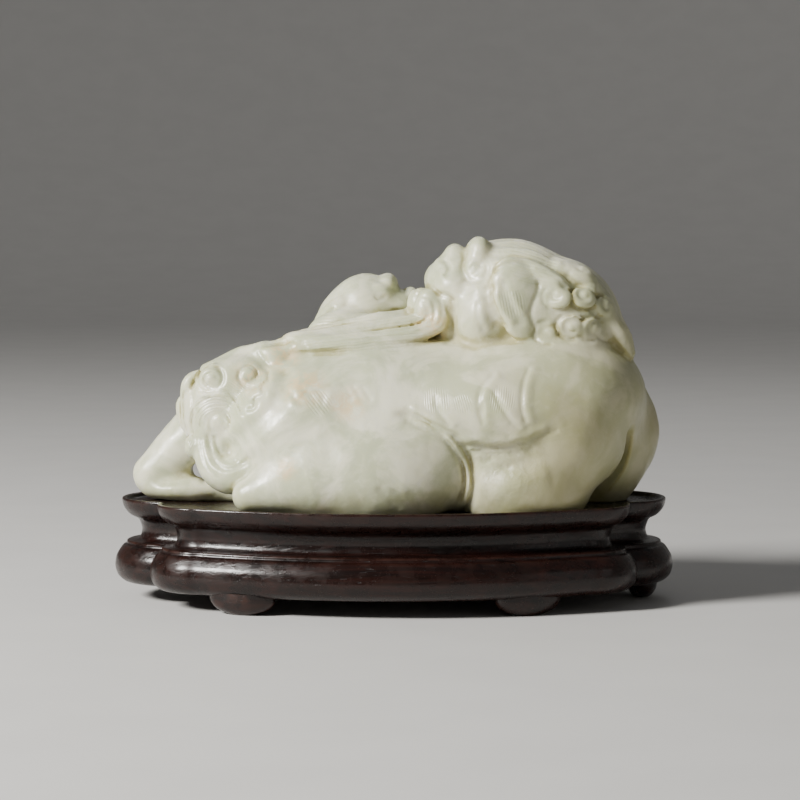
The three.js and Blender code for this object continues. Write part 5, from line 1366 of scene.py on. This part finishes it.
def wood_material(look, wear):
    """Near-black polished hardwood with figure, pores and rubbed edges."""
    material, tree, shader = new_material("dark_hardwood", **{
        "Specular IOR Level": 0.3, "Coat Weight": 0.22, "Coat Roughness": 0.14})
    place = object_place(tree)
    worn = place_group(tree, wear, Hollow=mask_of(tree, "hollow"), Place=place, Scale=180.0)
    hollow_fill, uneven = worn.outputs["HollowFill"], worn.outputs["Uneven"]
    along = stretched(tree, place, (6, 90, 90))
    figure = ramp(tree, noise(tree, along, 4.0, 5, 0.6, 1.2), 0.35, 0.7)
    colour = blend_colour(tree, figure, look.wood_colour, look.grain_colour)
    rubbed = times(tree, mask_of(tree, "edge"), ramp(tree, uneven, 0.2, 0.9, 0.25, 0.9))
    colour = blend_colour(tree, rubbed, colour, look.worn_colour)
    # long thin pores of the hardwood
    pores = noise(tree, stretched(tree, place, (90, 900, 900)), 2.2, 2, 0.5)
    pores = ramp(tree, pores, 0.66, 0.74)
    colour = blend_colour(tree, times(tree, pores, 0.8), colour, PORE_COLOUR)
    colour = blend_colour(tree, ramp(tree, hollow_fill, 0.3, 1.0, 0, 0.35), colour, DUST_COLOUR)
    tree.links.new(colour, shader.inputs["Base Color"])
    polish = ramp(tree, uneven, 0, 1, look.gloss - 0.05, look.gloss + 0.1)
    tree.links.new(plus(tree, polish, times(tree, pores, 0.25)), shader.inputs["Roughness"])
    height = math_node(tree, "SUBTRACT", times(tree, figure, 0.35), pores)
    bump = node(tree, "ShaderNodeBump", Strength=0.35, Distance=0.0004)
    tree.links.new(height, bump.inputs["Height"])
    tree.links.new(bump.outputs["Normal"], shader.inputs["Normal"])
    return material


def set_only_material(piece, material):
    """Takes away any other material."""
    piece.data.materials.clear()
    piece.data.materials.append(material)


EDGE_GAIN, DIP_GAIN = 2.2, 2.0


def curvature_masks(piece):
    """Edge and hollow masks from how the surface bends at each vertex."""
    co, normal = vertices_of(piece)
    ends = np.zeros(len(piece.data.edges) * 2, int)
    piece.data.edges.foreach_get("vertices", ends)
    a, b = ends.reshape(-1, 2).T
    step = co[b] - co[a]
    length = np.maximum(np.linalg.norm(step, axis=1), 1e-9)
    bend = ((normal[b] - normal[a]) * step).sum(1) / length
    total, count = np.zeros(len(co)), np.zeros(len(co))
    for v in (a, b):
        np.add.at(total, v, bend)
        np.add.at(count, v, 1)
    mean = total / np.maximum(count, 1)
    add_mask(piece, "edge", EDGE_GAIN * mean)
    add_mask(piece, "hollow", -DIP_GAIN * mean)


# Operators

def shared_wear():
    """The wear group, built once for both materials."""
    return bpy.data.node_groups.get("handling_wear") or wear_group()


class LION_OT_carving(bpy.types.Operator):
    """Carve the lion, its cub, the ribbon and the tail out of one pale stone."""

    bl_idname = "jade_lion.carving"
    bl_label = "Jade carving"

    def execute(self, context):
        look = context.scene.jade_settings
        step = look.grain_step / MM * 1
        piece = carved_lion(step)
        set_only_material(piece, jade_material(look, shared_wear()))
        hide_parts("jade_lion")
        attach(piece, "root")
        return {"FINISHED"}


class LION_OT_stand(bpy.types.Operator):
    """Make the lobed hardwood stand with its sunken seat and five feet."""

    bl_idname = "jade_lion.stand"
    bl_label = "Hardwood stand"

    def execute(self, context):
        look = context.scene.stand_settings
        piece = carved_stand(look.lip_width / MM)
        curvature_masks(piece)
        set_only_material(piece, wood_material(look, shared_wear()))
        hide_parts("wooden_stand")
        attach(piece, "root")
        return {"FINISHED"}


# metres and degrees
CAMERA_TARGET = Vector((0.00195, -0.004, 0.0638))
CAMERA_DISTANCE = 0.9
CAMERA_ELEVATION = 4.4
CAMERA_LENS = 126.54
CAMERA_SENSOR = 36
SWEEP_RADIUS = 3.2
SWEEP_BEND = 1.4
SWEEP_HEIGHT = 2.6
SWEEP_SIDES = 64
LIGHT_TARGET = Vector((0, 0, 0.06))
KEY_COLOUR = (1, 0.985, 0.955)
ROOM_COLOUR = (0.93, 0.95, 1.0, 1)
FLOOR_ROUGHNESS = 0.65


def soft_light(name, power, size, place, colour=(1, 1, 1)):
    """A round lamp turned towards the piece."""
    data = bpy.data.lights.new(name, "AREA")
    data.shape = "DISK"
    data.size = size
    data.energy = power
    data.color = colour
    lamp = linked(name, data)
    lamp.location = place
    lamp.rotation_euler = (LIGHT_TARGET - Vector(place)).to_track_quat("-Z", "Y").to_euler()


def studio_sweep():
    """Plain floor that curves up into an even backdrop all the way round."""
    flat_part = SWEEP_RADIUS - SWEEP_BEND
    bend = [(flat_part + SWEEP_BEND * math.sin(t), SWEEP_BEND - SWEEP_BEND * math.cos(t))
            for t in np.linspace(0, math.pi / 2, 12)]
    line = [(0.25, 0), (0.6, 0), (1.2, 0), *bend, (SWEEP_RADIUS, SWEEP_HEIGHT)]
    maker = bmesh.new()
    middle = maker.verts.new((0, 0, 0))
    last = None
    for r, z in line:
        ring = [maker.verts.new((r * math.cos(a), r * math.sin(a), z))
                for a in np.linspace(0, 2 * math.pi, SWEEP_SIDES, endpoint=False)]
        for i in range(SWEEP_SIDES):
            j = (i + 1) % SWEEP_SIDES
            if last is None:
                maker.faces.new((middle, ring[i], ring[j]))
            else:
                maker.faces.new((last[i], ring[i], ring[j], last[j]))
        last = ring
    mesh = bpy.data.meshes.new("studio_floor")
    maker.to_mesh(mesh)
    maker.free()
    mesh.shade_smooth()
    return linked("studio_floor", mesh)


class LION_OT_studio(bpy.types.Operator):
    """Set up the plain floor, the soft lights and the camera."""

    bl_idname = "jade_lion.studio"
    bl_label = "Studio"

    def execute(self, context):
        look = context.scene.studio_settings
        floor = studio_sweep()
        material, tree, shader = new_material("pale_floor", Roughness=FLOOR_ROUGHNESS)
        speck = ramp(tree, noise(tree, object_place(tree), 30, 4), 0.3, 0.7)
        darker = tuple(0.97 * c for c in look.floor_colour)
        colour = blend_colour(tree, speck, look.floor_colour, darker)
        tree.links.new(colour, shader.inputs["Base Color"])
        set_only_material(floor, material)

        world = bpy.data.worlds.new("studio_room")
        world.use_nodes = True
        room = world.node_tree.nodes["Background"]
        room.inputs["Color"].default_value = ROOM_COLOUR
        room.inputs["Strength"].default_value = look.sky
        context.scene.world = world
        soft_light("key_light", look.key_power, 0.34, (-0.88, -0.54, 0.70), KEY_COLOUR)
        soft_light("fill_light", look.fill_power, 0.6, (0.9, -0.7, 0.35))
        soft_light("rim_light", look.fill_power * 1.5, 0.4, (0.2, 0.8, 0.7))

        data = bpy.data.cameras.new("photo_view")
        data.lens = CAMERA_LENS
        data.sensor_width = CAMERA_SENSOR
        data.clip_start, data.clip_end = 0.01, 50
        camera = linked("photo_view", data)
        up = math.radians(CAMERA_ELEVATION)
        back = Vector((0, -math.cos(up), math.sin(up)))
        camera.location = CAMERA_TARGET + back * CAMERA_DISTANCE
        camera.rotation_euler = (-back).to_track_quat("-Z", "Y").to_euler()
        context.scene.camera = camera
        return {"FINISHED"}


class LION_PT_panel(bpy.types.Panel):
    """Builds and finishes of the jade lion."""

    bl_idname = "LION_PT_panel"
    bl_label = "Jade lion"
    bl_space_type = "VIEW_3D"
    bl_region_type = "UI"
    bl_category = "Jade lion"

    def draw(self, context):
        groups = (("jade_settings", LION_OT_carving), ("stand_settings", LION_OT_stand),
                  ("studio_settings", LION_OT_studio))
        for name, operator in groups:
            box = self.layout.box()
            settings = getattr(context.scene, name)
            for key in settings.__annotations__:
                box.prop(settings, key)
            box.operator(operator.bl_idname)


CLASSES = (JadeSettings, StandSettings, StudioSettings,
           LION_OT_carving, LION_OT_stand, LION_OT_studio, LION_PT_panel)


def register():
    """Adds the classes and their settings."""
    for item in CLASSES:
        bpy.utils.register_class(item)
    bpy.types.Scene.jade_settings = PointerProperty(type=JadeSettings)
    bpy.types.Scene.stand_settings = PointerProperty(type=StandSettings)
    bpy.types.Scene.studio_settings = PointerProperty(type=StudioSettings)


def unregister():
    """Takes away what register added."""
    del bpy.types.Scene.studio_settings
    del bpy.types.Scene.stand_settings
    del bpy.types.Scene.jade_settings
    for item in reversed(CLASSES):
        bpy.utils.unregister_class(item)


def main():
    """Builds the stage and both pieces."""
    register()
    bpy.ops.jade_lion.studio()
    bpy.ops.jade_lion.carving()
    bpy.ops.jade_lion.stand()


if __name__ == "__main__":
    main()
